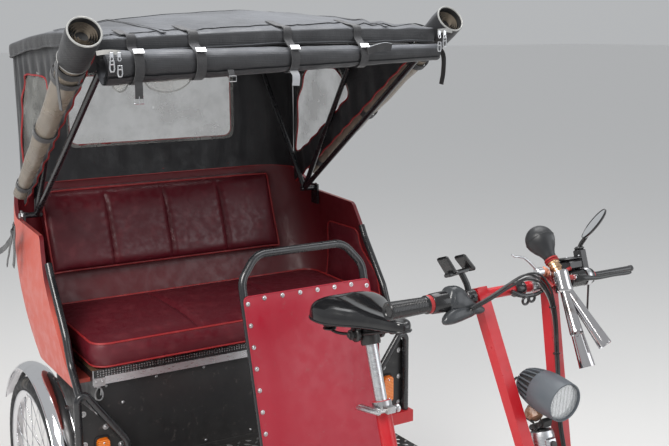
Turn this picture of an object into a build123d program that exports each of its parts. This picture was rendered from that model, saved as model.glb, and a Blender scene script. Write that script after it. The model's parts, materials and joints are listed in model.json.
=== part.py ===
from build123d import *
import os
from math import cos, radians, sin, sqrt, tan

os.makedirs("parts", exist_ok=True)

# A cycle rickshaw with a hood: one steered wheel in front, a rider's saddle, and a shell
# with a bench for passengers between two rear wheels.
# Millimetres. +X is forward, +Y is the vehicle's left, +Z is up, and the ground is Z = 0.
# Names that end in _ahead are measured forward from the body's datum, just before the rear axle.

# Wheels
wheel_radius = 301
tyre_half_width = 23.5
rim_outer = wheel_radius - 42
rim_inner = rim_outer - 22
rim_half_width = 17
spoke_count = 36
spoke_radius = 1.1
spoke_lean = 60
flange_radius = 32
flange_y = 27
rear_track_half = 538
rear_axle_ahead = -35
wheelbase = 1954
guard_inner = wheel_radius + 19
guard_crown = 18
guard_half = 36
guard_lift = 16
guard_offset = 6
guard_tail_angle = 62
guard_arc = 146

# Steering axis, and the top of the two handlebar risers on it
steer_lean = 18.1
riser_top_ahead = 1590
riser_top_z = 1160

# Frame
rail_y = 230
rail_z = 420
rail_size = 40
rail_front = 920
rail_rear = -180
wing_beam_ahead = 450
wing_beam_half = 570
bracket_ahead = 1286
bracket_z = 300
seat_lean = 18.9
seat_mark_ahead = 1046
seat_mark_z = 1000
seat_tube_radius = 19.5
seat_tube_top_z = 795
seat_post_radius = 15
axle_radius = 10
housing_radius = 24
fit_gap = 0.3
running_gap = 1.5

# Passenger shell and bench
wall = 12
bench_front = 400
bench_rear = -135
bench_half = 480
bench_corner = 170
bench_top_z = 735
floor_front = 875
floor_half = 398
floor_sheet = 5
hinge_ahead = -90
lid_board = 18
lid_half = bench_half - 4
cushion_half = bench_half + 8
back_pad_half = 420
back_pad_low_z = 900
cushion_thick = 92
back_pad_thick = 85
side_pad_thick = 20
ledge_z = 705
shell_rear_ahead = -345
shell_split_ahead = -50

# Hood
hood_half = 504.5
hood_corner = 130
hood_sheet = 6
hood_drop = 38
side_sheet = 4
window_sheet = 2
bow_radius = 9
pivot_ahead = -90
pivot_z = 1120

# Rider's controls
bar_radius = 11
riser_wall = 1.5
riser_size = 2 * (bar_radius + riser_wall)
riser_half_top = 91
riser_half_low = 41
riser_length = 330
steerer_radius = 12.7

# Drive
chain_y = -45
chainring_radius = 88
sprocket_radius = 42
roller_radius = 3.9
crank_length = 170
arm_y = 66

# The origin lies under the middle of the overall length, from the shell or the rear tyres to
# the front tyre
front_end_ahead = rear_axle_ahead + wheelbase + wheel_radius
rear_end_ahead = min(shell_rear_ahead, rear_axle_ahead - wheel_radius)
datum_x = -(front_end_ahead + rear_end_ahead) / 2
floor_z = rail_z + rail_size / 2


def ahead(distance):
    """X of a place this far in front of the body's datum."""
    return datum_x + distance


steer = Plane(
    origin=(ahead(riser_top_ahead), 0, riser_top_z),
    x_dir=(cos(radians(steer_lean)), 0, sin(radians(steer_lean))),
    z_dir=(-sin(radians(steer_lean)), 0, cos(radians(steer_lean))),
)
rear_axle = Vector(ahead(rear_axle_ahead), 0, wheel_radius)
front_axle = Vector(ahead(rear_axle_ahead + wheelbase), 0, wheel_radius)
bracket = Vector(ahead(bracket_ahead), 0, bracket_z)


def on_steer(x, y, z):
    """A point given ahead of, beside and up the steering axis, from the risers' top."""
    return steer.from_local_coords(Vector(x, y, z))


def on_seat_line(z):
    """The point of the seat tube's centre line at this height."""
    lean = (seat_mark_z - z) * tan(radians(seat_lean))
    return Vector(ahead(seat_mark_ahead) + lean, 0, z)


def facing_front(x):
    """Sketch plane across the vehicle: local X is the vehicle's Y, local Y is its Z."""
    return Plane(origin=(x, 0, 0), x_dir=(0, 1, 0), z_dir=(1, 0, 0))


def facing_right(y):
    """Sketch plane along the vehicle: local X is the vehicle's X, local Y is its Z."""
    return Plane(origin=(0, y, 0), x_dir=(1, 0, 0), z_dir=(0, -1, 0))


def rod(start, end, radius, mode=Mode.ADD):
    """A straight round bar between two points."""
    run = Vector(*end) - Vector(*start)
    with Locations(Plane(origin=start, z_dir=run)):
        Cylinder(radius, run.length, align=(Align.CENTER, Align.CENTER, Align.MIN), mode=mode)


def taper(start, end, start_radius, end_radius, mode=Mode.ADD):
    """A straight round bar that narrows or widens evenly."""
    run = Vector(*end) - Vector(*start)
    with Locations(Plane(origin=start, z_dir=run)):
        Cone(start_radius, end_radius, run.length,
             align=(Align.CENTER, Align.CENTER, Align.MIN), mode=mode)


def square_bar(start, end, width, depth, across=(0, 1, 0)):
    """A straight bar of rectangular section, its width lying along the given direction."""
    run = Vector(*end) - Vector(*start)
    with Locations(Plane(origin=start, x_dir=across, z_dir=run)):
        Box(width, depth, run.length, align=(Align.CENTER, Align.CENTER, Align.MIN))


def bent_rod(points, bend, radius):
    """A round bar along straight runs joined by arcs."""
    with BuildLine() as path:
        FilletPolyline(*points, radius=bend)
    with BuildSketch(Plane(origin=path.line @ 0, z_dir=path.line % 0)) as section:
        Circle(radius)
    sweep(section.sketch, path=path.line)


def outline(points, mode=Mode.ADD):
    """A flat face with straight sides, inside a sketch."""
    with BuildLine() as edge:
        Polyline(*points, close=True)
    make_face(edge.line, mode=mode)


# Wheels
def wheel_plane(centre, angle=0):
    """Half section of a wheel: local X runs along the axle, local Y out to the tread.
    The angle leans the section forward from the vertical."""
    lean = radians(angle)
    return Plane(origin=centre, x_dir=(0, 1, 0), z_dir=(cos(lean), 0, -sin(lean)))


def build_tyre(centre):
    crown_radius = wheel_radius - tyre_half_width
    seat_half = sqrt(tyre_half_width**2 - (crown_radius - rim_outer) ** 2)
    with BuildPart() as tyre:
        with BuildSketch(wheel_plane(centre)):
            with BuildLine():
                Line((-seat_half, rim_outer), (seat_half, rim_outer))
                ThreePointArc((seat_half, rim_outer), (0, wheel_radius), (-seat_half, rim_outer))
            make_face()
        revolve(axis=Axis(centre, (0, 1, 0)))
    return tyre


def build_wheel(centre, hub_profile):
    """Rim, hub and crossed spokes as one piece. The hub profile lists (along axle, radius)."""
    rim_profile = [
        (-rim_half_width, rim_outer),
        (rim_half_width, rim_outer),
        (rim_half_width, rim_outer - 8),
        (rim_half_width - 6, rim_inner),
        (6 - rim_half_width, rim_inner),
        (-rim_half_width, rim_outer - 8),
    ]
    with BuildPart() as wheel:
        with BuildSketch(wheel_plane(centre)):
            outline(rim_profile)
            outline(hub_profile)
        revolve(axis=Axis(centre, (0, 1, 0)))
        spokes = []
        for number in range(spoke_count):
            side = 1 if number % 2 else -1
            trail = 1 if number % 4 < 2 else -1
            rim_angle = radians(number * 360 / spoke_count)
            hub_angle = rim_angle + trail * radians(spoke_lean)
            hub_reach = flange_radius - 3
            rim_reach = rim_inner + 3
            hub_side = side * (flange_y + 1.8 * trail)
            hub_point = Vector(hub_reach * cos(hub_angle), hub_side, hub_reach * sin(hub_angle))
            rim_point = Vector(rim_reach * cos(rim_angle), side * 3, rim_reach * sin(rim_angle))
            run = rim_point - hub_point
            spokes.append(Plane(origin=Vector(*centre) + hub_point, z_dir=run))
        with Locations(*spokes):
            Cylinder(spoke_radius, run.length, align=(Align.CENTER, Align.CENTER, Align.MIN))
    return wheel


def hub_outline(bore, barrel, end_radius, end_y):
    """Half section of a hub with two spoke flanges."""
    shape = [(end_y, bore), (end_y, end_radius), (flange_y + 3, end_radius + 2),
             (flange_y + 3, flange_radius + 3), (flange_y - 3, flange_radius + 3),
             (flange_y - 3, barrel)]
    return [(-y, radius) for y, radius in shape] + [(y, radius) for y, radius in shape[::-1]]


pieces = {}
rear_hub = hub_outline(axle_radius, 17, 20, 38)
for side_name, side in (("right", -1), ("left", 1)):
    hub_centre = rear_axle + Vector(0, side * rear_track_half, 0)
    with BuildPart() as half_shaft:
        rod(rear_axle + Vector(0, side * 20, 0), hub_centre + Vector(0, side * 46, 0), axle_radius)
        rod(hub_centre + Vector(0, side * 38.2, 0), hub_centre + Vector(0, side * 48, 0), 16)
        if side < 0:
            with BuildSketch(facing_right(chain_y)):
                with Locations((rear_axle.X, rear_axle.Z)):
                    Circle(sprocket_radius - roller_radius - 0.6)
                    with PolarLocations(26, 5):
                        Circle(6, mode=Mode.SUBTRACT)
            extrude(amount=1.5, both=True)
            rod(rear_axle + Vector(0, chain_y - 9, 0), rear_axle + Vector(0, chain_y + 9, 0), 16)
    pieces[f"rear_tyre_{side_name}"] = build_tyre(tuple(hub_centre))
    pieces[f"rear_wheel_{side_name}"] = build_wheel(tuple(hub_centre), rear_hub)
    pieces[f"half_shaft_{side_name}"] = half_shaft

front_axle_radius = 5
front_hub_half = 44
front_hub = hub_outline(front_axle_radius + 0.1, 13, 14, front_hub_half)
pieces["front_tyre"] = build_tyre(tuple(front_axle))
pieces["front_wheel"] = build_wheel(tuple(front_axle), front_hub)


# Main frame: head tube, down tube, seat tube, bracket shell, chassis rails and cross beams
axle_on_steer = steer.to_local_coords(front_axle)
crown_low = axle_on_steer.Z + wheel_radius + 45
crown_high = crown_low + 32
head_low = crown_high + 5
head_high = head_low + 153
head_bore = 16
with BuildPart() as main_frame:
    rod(on_steer(0, 0, head_low), on_steer(0, 0, head_high), 20)
    rod(on_steer(0, 0, head_low), on_steer(0, 0, head_low + 14), 23)
    rod(on_steer(0, 0, head_high - 14), on_steer(0, 0, head_high), 23)
    rod(on_steer(0, 0, head_low + 45), bracket, 22)
    rod(on_steer(0, 0, head_high - 32), on_seat_line(560), 16)
    rod(bracket, on_seat_line(seat_tube_top_z), seat_tube_radius)
    rod(bracket + Vector(0, -35, 0), bracket + Vector(0, 35, 0), 23)
    square_bar((ahead(rail_front), 0, rail_z), on_seat_line(rail_z), 50, rail_size)
    for side in (-1, 1):
        rear_end = (ahead(rail_rear), side * rail_y, rail_z)
        square_bar(rear_end, (ahead(rail_front), side * rail_y, rail_z), rail_size, rail_size)
    cross_beams = [
        (rail_rear + 20, rail_y),
        (rail_front - 20, rail_y + 20),
        (wing_beam_ahead, wing_beam_half),
    ]
    for beam_ahead, half in cross_beams:
        right_end = (ahead(beam_ahead), -half, rail_z)
        square_bar(right_end, (ahead(beam_ahead), half, rail_z), rail_size, rail_size, (1, 0, 0))
    rod(on_steer(0, 0, head_low - 5), on_steer(0, 0, head_high + 5), head_bore, Mode.SUBTRACT)
    rod(bracket - Vector(0, 40, 0), bracket + Vector(0, 40, 0), 16, Mode.SUBTRACT)
    rod(on_seat_line(600), on_seat_line(seat_tube_top_z + 20), seat_post_radius, Mode.SUBTRACT)
pieces["main_frame"] = main_frame

# Bearing cups close the ends of the head tube and of the bracket shell
with BuildPart() as bearing_cups:
    for low, high in ((head_low, head_low + 12), (head_high - 12, head_high)):
        rod(on_steer(0, 0, low), on_steer(0, 0, high), head_bore)
        rod(on_steer(0, 0, low - 1), on_steer(0, 0, high + 1), steerer_radius + 0.1, Mode.SUBTRACT)
    for side in (-1, 1):
        inner = bracket + Vector(0, side * 22, 0)
        outer = bracket + Vector(0, side * 35, 0)
        rod(inner, outer, 16)
        rod(inner, outer, 8.6, Mode.SUBTRACT)
pieces["bearing_cups"] = bearing_cups

# Axle housings hang under the rails and carry the half shafts
with BuildPart() as axle_housings:
    for side in (-1, 1):
        inner = rear_axle + Vector(0, side * 72, 0)
        outer = rear_axle + Vector(0, side * (rear_track_half - 46), 0)
        rod(inner, outer, housing_radius)
        with Locations((rear_axle.X, side * rail_y, rail_z - rail_size / 2)):
            Box(70, 36, rail_z - rail_size / 2 - wheel_radius,
                align=(Align.CENTER, Align.CENTER, Align.MAX))
        rod(inner, outer, axle_radius + 0.1, Mode.SUBTRACT)
pieces["axle_housings"] = axle_housings


# Crank set, pedals and chain
with BuildPart() as crankset:
    rod(bracket - Vector(0, arm_y, 0), bracket + Vector(0, arm_y, 0), 8.5)
    with BuildSketch(facing_right(chain_y)):
        with Locations((bracket.X, bracket.Z)):
            Circle(chainring_radius - roller_radius - 0.6)
            Circle(chainring_radius - 16, mode=Mode.SUBTRACT)
            for arm in range(5):
                with Locations(Location((0, 0), arm * 72)):
                    Rectangle(chainring_radius - 10, 12, align=(Align.MIN, Align.CENTER))
    extrude(amount=1.5, both=True)
    rod(bracket + Vector(0, chain_y - 14, 0), bracket + Vector(0, chain_y + 6, 0), 17)
    for side in (-1, 1):
        hub = bracket + Vector(0, side * arm_y, 0)
        eye = hub + Vector(side * crank_length, 0, 0)
        square_bar(hub, eye, 12, 22)
        rod(hub - Vector(0, 6, 0), hub + Vector(0, 6, 0), 17)
        rod(eye - Vector(0, 6, 0), eye + Vector(0, 6, 0), 14)
        rod(eye - Vector(0, 7, 0), eye + Vector(0, 7, 0), 5.3, Mode.SUBTRACT)
pieces["crankset"] = crankset

for side_name, side in (("right", -1), ("left", 1)):
    eye = bracket + Vector(side * crank_length, side * arm_y, 0)
    tread = eye + Vector(0, side * 58, 0)
    with BuildPart() as pedal:
        with Locations(tread):
            Box(86, 84, 24)
            Box(62, 60, 30, mode=Mode.SUBTRACT)
            Box(66, 14, 16)
        rod(eye - Vector(0, side * 6, 0), eye + Vector(0, side * 96, 0), 5.2)
    pieces[f"pedal_{side_name}"] = pedal

with BuildPart() as chain:
    for grow, mode in ((roller_radius, Mode.ADD), (-roller_radius, Mode.SUBTRACT)):
        with BuildSketch(facing_right(chain_y)):
            with Locations((bracket.X, bracket.Z)):
                Circle(chainring_radius + grow)
            with Locations((rear_axle.X, rear_axle.Z)):
                Circle(sprocket_radius + grow)
            make_hull()
        extrude(amount=3.4, both=True, mode=mode)
pieces["chain"] = chain


# Rider's saddle, its post, springs and clamp
saddle_top_z = 1030
saddle_depth = 52
saddle_x = ahead(seat_mark_ahead)
post_top = on_seat_line(975)
with BuildPart() as seat_post:
    rod(on_seat_line(610), post_top, seat_post_radius)
pieces["seat_post"] = seat_post

with BuildPart() as seat_clamp:
    collar_low = on_seat_line(seat_tube_top_z - 24)
    collar_high = on_seat_line(seat_tube_top_z - 1)
    rod(collar_low, collar_high, seat_tube_radius + 5)
    lug = on_seat_line(seat_tube_top_z - 13)
    square_bar(lug + Vector(15, 0, 0), lug + Vector(40, 0, 2), 24, 16)
    rod(lug + Vector(32, -36, 1), lug + Vector(32, 18, 1), 5)
    square_bar(lug + Vector(40, -36, 4), lug + Vector(-34, -42, -4), 9, 13)
    rod(on_seat_line(900), on_seat_line(700), seat_tube_radius + 0.1, Mode.SUBTRACT)
pieces["seat_clamp"] = seat_clamp

# columns: behind the post, to the side, radius of the seat's lobe
saddle_lobes = [(-78, -52, 54), (-78, 52, 54), (150, 0, 24)]
with BuildPart() as saddle:
    with BuildSketch(Plane.XY.offset(saddle_top_z)):
        for back, aside, radius in saddle_lobes:
            with Locations((saddle_x + back, aside)):
                Circle(radius)
        make_hull()
    extrude(amount=-saddle_depth)
    fillet(saddle.faces().sort_by(Axis.Z)[-1].edges(), 20)
    with BuildSketch(Plane.XY.offset(saddle_top_z - saddle_depth)):
        for back, aside, radius in saddle_lobes:
            with Locations((saddle_x + back, aside)):
                Circle(radius - 6)
        make_hull()
    extrude(amount=26, mode=Mode.SUBTRACT)
pieces["saddle"] = saddle

spring_base_z = saddle_top_z - 84
spring_height = 58 - fit_gap
with BuildPart() as saddle_springs:
    rod(post_top - Vector(0, 50, 20), post_top + Vector(0, 50, -20), 9)
    for side in (-1, 1):
        foot = Vector(saddle_x - 88, side * 50, spring_base_z)
        coils = 6
        for coil in range(coils):
            with Locations(foot + Vector(0, 0, (coil + 0.5) * spring_height / coils)):
                Cylinder(18 if coil % 2 else 14, spring_height / coils)
        rod(foot + Vector(0, 0, 4), Vector(saddle_x + 128, side * 12, spring_base_z + 42), 4)
    with Locations((saddle_x + 126, 0, spring_base_z + 44)):
        Box(14, 36, 2 * 14 - 2 * fit_gap)
    with Locations((saddle_x - 88, 0, spring_base_z + 4)):
        Box(10, 100, 8)
    rod(on_seat_line(925), post_top, 25)
    rod(on_seat_line(900), post_top, seat_post_radius, Mode.SUBTRACT)
pieces["saddle_springs"] = saddle_springs

# Hand hoop behind the saddle, with its riveted sheet
hoop_ahead = 725
hoop_half = 187
hoop_top_z = 1103
hoop_lean = 14.8
hoop_tube = 11


def on_hoop(y, z):
    """A point on the leaning plane of the hoop's centre line."""
    return Vector(ahead(hoop_ahead) + (hoop_top_z - z) * tan(radians(hoop_lean)), y, z)


hoop_foot_z = floor_z + 3.5
with BuildPart() as hand_hoop:
    bent_rod(
        [
            on_hoop(-hoop_half, hoop_foot_z),
            on_hoop(-hoop_half, hoop_top_z - 62),
            on_hoop(-hoop_half + 52, hoop_top_z),
            on_hoop(hoop_half - 52, hoop_top_z),
            on_hoop(hoop_half, hoop_top_z - 62),
            on_hoop(hoop_half, hoop_foot_z),
        ],
        60,
        hoop_tube,
    )
    for side in (-1, 1):
        with Locations(on_hoop(side * hoop_half, floor_z)):
            Box(44, 44, 6, align=(Align.CENTER, Align.CENTER, Align.MIN))
pieces["hand_hoop"] = hand_hoop

hoop_sheet_low = 520
hoop_sheet_high = 1000
hoop_normal = Vector(cos(radians(hoop_lean)), 0, sin(radians(hoop_lean)))
hoop_sheet_plane = Plane(
    origin=on_hoop(0, hoop_sheet_low) + hoop_normal * (hoop_tube + fit_gap),
    x_dir=(0, 1, 0),
    z_dir=hoop_normal,
)
with BuildPart() as hoop_panel:
    with BuildSketch(hoop_sheet_plane) as hoop_face:
        height = (hoop_sheet_high - hoop_sheet_low) / cos(radians(hoop_lean))
        Rectangle(2 * hoop_half + 14, height, align=(Align.CENTER, Align.MIN))
        fillet(hoop_face.vertices(), 14)
    extrude(amount=3)
pieces["hoop_panel"] = hoop_panel

# Footwell floor, notched round the hoop's feet
with BuildPart() as floor_pan:
    with BuildSketch(Plane.XY.offset(floor_z)) as floor_face:
        with Locations((ahead((bench_front + floor_front) / 2), 0)):
            Rectangle(floor_front - bench_front - 2, 2 * floor_half)
        fillet(floor_face.vertices(), 25)
        for side in (-1, 1):
            with Locations((on_hoop(0, floor_z).X, side * hoop_half)):
                Rectangle(60, 60, mode=Mode.SUBTRACT)
    extrude(amount=floor_sheet)
pieces["floor_pan"] = floor_pan

# Rails beside the seat: each follows the shell's front edge, then arches over a front panel
rail_tube = 11
arch_x = ahead(wing_beam_ahead)
arch_outer = 550
arch_inner = 412
arch_peak_y = 534
arch_peak_z = 715
arm_rail_y = 538
with BuildPart() as side_rails:
    bent_rod(
        [
            (arch_x, -arch_outer, floor_z),
            (arch_x, -arch_outer, arch_peak_z - 28),
            (arch_x, -arch_peak_y, arch_peak_z),
            (arch_x, -arch_inner, 545),
            (arch_x, -arch_inner, floor_z),
        ],
        [20, 16, 60],
        rail_tube,
    )
    bent_rod(
        [
            (arch_x, -arch_peak_y - 7, arch_peak_z - 20),
            (ahead(372), -arm_rail_y, 764),
            (ahead(337), -arm_rail_y, 842),
            (ahead(225), -arm_rail_y, 988),
            (ahead(203), -arm_rail_y, 1025),
        ],
        [60, 90, 60],
        rail_tube,
    )
    mirror(about=Plane.XZ)
pieces["side_rails"] = side_rails

front_sheet = 3
with BuildPart() as front_panels:
    with BuildSketch(facing_front(arch_x - rail_tube - fit_gap - front_sheet)):
        outline([
            (-arch_outer, floor_z),
            (-arch_outer, arch_peak_z - 46),
            (-arch_peak_y - 6, arch_peak_z - 30),
            (-arch_inner, 552),
            (-arch_inner, floor_z),
        ])
    extrude(amount=front_sheet)
    mirror(about=Plane.XZ)
pieces["front_panels"] = front_panels

# Direction lamps on the front panels
with BuildPart() as front_indicators:
    with BuildSketch(facing_front(arch_x - rail_tube)) as lens:
        with Locations((-482, 524), (482, 524)):
            RectangleRounded(38, 88, 12)
    extrude(amount=18, taper=8)
pieces["front_indicators"] = front_indicators

# Bench box: open locker under the seat, with a fixed shelf behind the lid


def bench_plan(inset, front):
    """Plan of the bench box with its rounded rear corners, drawn in by the inset, up to a
    front edge."""
    with BuildSketch() as plan:
        with Locations((ahead(bench_rear) + inset, 0)):
            Rectangle(front - bench_rear - inset, 2 * (bench_half - inset),
                      align=(Align.MIN, Align.CENTER))
        fillet(plan.vertices().group_by(Axis.X)[0], bench_corner - inset)
    return plan.sketch


with BuildPart() as bench_box:
    with BuildSketch(Plane.XY.offset(floor_z)):
        add(bench_plan(0, bench_front))
    extrude(amount=bench_top_z - floor_z)
    with BuildSketch(Plane.XY.offset(floor_z + wall)):
        add(bench_plan(wall, bench_front - wall))
    extrude(amount=bench_top_z, mode=Mode.SUBTRACT)
    with BuildSketch(Plane.XY.offset(bench_top_z)):
        add(bench_plan(0, bench_front))
        with Locations((ahead(hinge_ahead) - 8, 0)):
            Rectangle(bench_front - bench_rear, 2 * bench_half + 2,
                      align=(Align.MIN, Align.CENTER), mode=Mode.SUBTRACT)
    extrude(amount=-wall)
pieces["bench_box"] = bench_box

# Seat lid on its hinge, with its cushion and the bar that stiffens its front edge
lid_low = bench_top_z + fit_gap
lid_high = lid_low + lid_board
hinge_z = lid_high + 4
hinge_pin = 3
knuckle = 6
knuckle_rows = 6
hinge_half = bench_half - 60
knuckle_pitch = 2 * hinge_half / (2 * knuckle_rows + 1)
with BuildPart() as lid_hinge:
    for row in range(knuckle_rows + 1):
        low_y = 2 * row * knuckle_pitch - hinge_half
        start = Vector(ahead(hinge_ahead), low_y, hinge_z)
        rod(start, start + Vector(0, knuckle_pitch, 0), knuckle)
        with Locations(start + Vector(-2, 0, 0)):
            Box(28, knuckle_pitch, hinge_z - lid_low, align=(Align.MAX, Align.MIN, Align.MAX))
    rod((ahead(hinge_ahead), -hinge_half, hinge_z), (ahead(hinge_ahead), hinge_half, hinge_z), hinge_pin)
pieces["lid_hinge"] = lid_hinge

with BuildPart() as seat_lid:
    with Locations((ahead(hinge_ahead) + 10, 0, lid_low)):
        Box(bench_front + 6 - hinge_ahead - 10, 2 * lid_half, lid_board,
            align=(Align.MIN, Align.CENTER, Align.MIN))
    chamfer(seat_lid.edges().filter_by(Axis.Z).group_by(Axis.X)[0], 30)
    for row in range(knuckle_rows):
        low_y = (2 * row + 1) * knuckle_pitch - hinge_half
        start = Vector(ahead(hinge_ahead), low_y + 0.5, hinge_z)
        rod(start, start + Vector(0, knuckle_pitch - 1, 0), knuckle)
        with Locations(start + Vector(0, 0, -4)):
            Box(30, knuckle_pitch - 1, 4, align=(Align.MIN, Align.MIN, Align.MIN))
        rod(start, start + Vector(0, knuckle_pitch - 1, 0), hinge_pin + 0.1, Mode.SUBTRACT)
pieces["seat_lid"] = seat_lid

with BuildPart() as seat_cushion:
    with Locations((ahead(hinge_ahead) + 34, 0, lid_high + fit_gap)):
        Box(bench_front + 24 - hinge_ahead - 34, 2 * cushion_half, cushion_thick,
            align=(Align.MIN, Align.CENTER, Align.MIN))
    fillet(seat_cushion.edges(), 22)
pieces["seat_cushion"] = seat_cushion

lid_bar_low = lid_low - 26
lid_bar_half = bench_half + 10
with BuildPart() as lid_bar:
    with Locations((ahead(bench_front) + 6 + fit_gap, 0, lid_bar_low)):
        Box(3, 2 * lid_bar_half, 26 + lid_board, align=(Align.MIN, Align.CENTER, Align.MIN))
pieces["lid_bar"] = lid_bar


# Passenger shell: a tub lofted through three levels, open in front
# columns: height, half width, rear face ahead of the datum, corner radius
shell_levels = [(ledge_z, 540, -150, 240), (845, 556, -212, 220), (1185, 530, shell_rear_ahead, 205)]


def shell_solid(inset, front):
    """The tub's outer form, drawn in on the sides and at the back by the inset."""
    with BuildPart() as form:
        for level, half, rear, corner in shell_levels:
            with BuildSketch(Plane.XY.offset(level)) as section:
                with Locations((ahead(rear) + inset, 0)):
                    Rectangle(front - rear - inset, 2 * (half - inset),
                              align=(Align.MIN, Align.CENTER))
                fillet(section.vertices().group_by(Axis.X)[0], max(corner - inset, 8))
        loft()
    return form.part


# the sides' edge, ahead of the datum and up: lower edge, front edge behind the arm rail, top edge
side_edge = [
    (-500, ledge_z),
    (412, ledge_z),
    (361, 756),
    (325, 836),
    (214, 981),
    (190, 1024),
    (150, 1098),
    (-110, 1112),
    (-210, 1185),
    (-500, 1185),
]
side_edge_bends = [5, 5, 73, 77, 40, 40, 25, 60, 60, 5]
shell_front = 600
with BuildPart() as shell:
    add(shell_solid(0, shell_front))
    add(shell_solid(wall, shell_front + 20), mode=Mode.SUBTRACT)
    with BuildSketch(Plane.XY.offset(ledge_z)) as ledge:
        with Locations((ahead(-147), 0)):
            Rectangle(500, 2 * 537, align=(Align.MIN, Align.CENTER))
        fillet(ledge.vertices().group_by(Axis.X)[0], 237)
        add(bench_plan(-fit_gap, 2 * shell_front), mode=Mode.SUBTRACT)
    extrude(amount=wall)
    with BuildSketch(facing_right(600)):
        with BuildLine():
            FilletPolyline(*[(ahead(x), z) for x, z in side_edge], radius=side_edge_bends, close=True)
        make_face()
    extrude(amount=1200, mode=Mode.INTERSECT)

shell_split = Plane(origin=(ahead(shell_split_ahead), 0, 0), x_dir=(0, 1, 0), z_dir=(1, 0, 0))
with BuildPart() as body_back:
    add(shell.part)
    split(bisect_by=shell_split, keep=Keep.BOTTOM)
pieces["body_back"] = body_back
with BuildPart() as body_sides:
    add(shell.part)
    split(bisect_by=shell_split, keep=Keep.TOP)
pieces["body_sides"] = body_sides

# Cushions that lie against the shell's inside
with BuildPart() as back_cushion:
    add(shell_solid(wall + fit_gap, shell_front))
    add(shell_solid(wall + fit_gap + back_pad_thick, shell_front + 20), mode=Mode.SUBTRACT)
    with Locations((ahead(-100), 0, back_pad_low_z)):
        Box(400, 2 * back_pad_half, 1162 - back_pad_low_z, align=(Align.MAX, Align.CENTER, Align.MIN), mode=Mode.INTERSECT)
pieces["back_cushion"] = back_cushion

pad_edge = [(-20, 775), (335, 775), (300, 868), (196, 950), (180, 1010), (-20, 1010)]
with BuildPart() as side_pads:
    add(shell_solid(wall + fit_gap, shell_front))
    add(shell_solid(wall + fit_gap + side_pad_thick, shell_front + 20), mode=Mode.SUBTRACT)
    with BuildSketch(facing_right(600)):
        outline([(ahead(x), z) for x, z in pad_edge])
    extrude(amount=1200, mode=Mode.INTERSECT)
pieces["side_pads"] = side_pads

# Polished mudguards with the lugs that hold them to the bench box
guard_sheet = 2
guard_centre = rear_axle + Vector(12, 0, guard_lift)
guard_y = rear_track_half - guard_offset


def guard_section(half, low, crown, sheet):
    """Crowned strip, in a wheel's half section."""
    with BuildLine() as edge:
        ThreePointArc((-half, low), (0, low + crown), (half, low))
        Line((half, low), (half - sheet, low - sheet))
        ThreePointArc((half - sheet, low - sheet), (0, low + crown - sheet), (sheet - half, low - sheet))
        Line((sheet - half, low - sheet), (-half, low))
    make_face(edge.line)


with BuildPart() as rear_mudguards:
    right_middle = guard_centre - Vector(0, guard_y, 0)
    with BuildSketch(wheel_plane(right_middle, -guard_tail_angle)):
        guard_section(guard_half, guard_inner, guard_crown, guard_sheet)
    revolve(axis=Axis(right_middle, (0, 1, 0)), revolution_arc=guard_arc)
    for angle in (16, 38, 62):
        reach = guard_inner - 1
        lug = guard_centre + Vector(reach * sin(radians(angle)), 0, reach * cos(radians(angle)))
        rod(lug - Vector(0, bench_half + fit_gap, 0), lug - Vector(0, guard_y - guard_half + 4, 0), 5)
    mirror(about=Plane.XZ)
pieces["rear_mudguards"] = rear_mudguards

# Lamps at the back of the bench box
with BuildPart() as rear_lamps:
    for side in (-1, 1):
        start = Vector(ahead(bench_rear) - fit_gap, side * (bench_half - bench_corner - 10), 600)
        rod(start, start - Vector(22, 0, 0), 32)
    fillet(rear_lamps.faces().sort_by(Axis.X)[0].edges(), 6)
pieces["rear_lamps"] = rear_lamps


# Hood: a crowned roof, a back that bends round both corners, two quarter panels, clear
# windows and bows
roof_front = 640
roof_rear = -318
roof_lap = 20
# columns: ahead of the datum, height of the roof's edge, rise of its crown, lean to the left
roof_rows = [
    (roof_front + roof_lap, 1677, 6, 12),
    (480, 1689, 31, 12),
    (-60, 1670, 52, 8),
    (roof_rear - roof_lap, 1628, 42, 4),
]


def hood_space(inset, drop):
    """The space under the roof down to its drop, drawn in by the inset."""
    with BuildPart() as form:
        for row_ahead, edge, rise, lean in roof_rows:
            half = hood_half + roof_lap
            low = edge - drop
            top = edge - inset
            with BuildSketch(facing_front(ahead(row_ahead))):
                with BuildLine():
                    ThreePointArc((-half, top - lean), (0, top + rise), (half, top + lean))
                    Polyline((half, top + lean), (half, low), (-half, low), (-half, top - lean))
                make_face()
        loft()
        with BuildSketch(Plane.XY.offset(900)) as plan:
            with Locations((ahead(roof_rear) + inset, 0)):
                Rectangle(roof_front - roof_rear - 2 * inset, 2 * (hood_half - inset),
                          align=(Align.MIN, Align.CENTER))
            fillet(plan.vertices().group_by(Axis.X)[0], hood_corner - inset)
        extrude(amount=1200, mode=Mode.INTERSECT)
    return form.part


with BuildPart() as hood_roof:
    add(hood_space(0, hood_drop))
    add(hood_space(hood_sheet, hood_drop + 20), mode=Mode.SUBTRACT)
pieces["hood_roof"] = hood_roof

back_low_z = 1188
back_inset = hood_sheet + fit_gap
back_end = roof_rear + hood_corner
back_window_width = 2 * (hood_half - hood_corner) - 149
with BuildPart() as hood_back:
    add(hood_space(back_inset, 500))
    add(hood_space(back_inset + side_sheet, 520), mode=Mode.SUBTRACT)
    with Locations((ahead(back_end), 0, back_low_z)):
        Box(400, 2 * hood_half, 400, align=(Align.MAX, Align.CENTER, Align.MIN), mode=Mode.INTERSECT)
    with Locations((ahead(back_end), 0, 1690)):
        Box(hood_corner - 20, 2 * hood_half, 100,
            align=(Align.MAX, Align.CENTER, Align.CENTER), mode=Mode.SUBTRACT)
    with BuildSketch(facing_front(ahead(roof_rear) - 20)):
        with Locations((0, 1420)):
            RectangleRounded(back_window_width, 230, 30)
    extrude(amount=60, mode=Mode.SUBTRACT)
pieces["hood_back"] = hood_back

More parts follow.
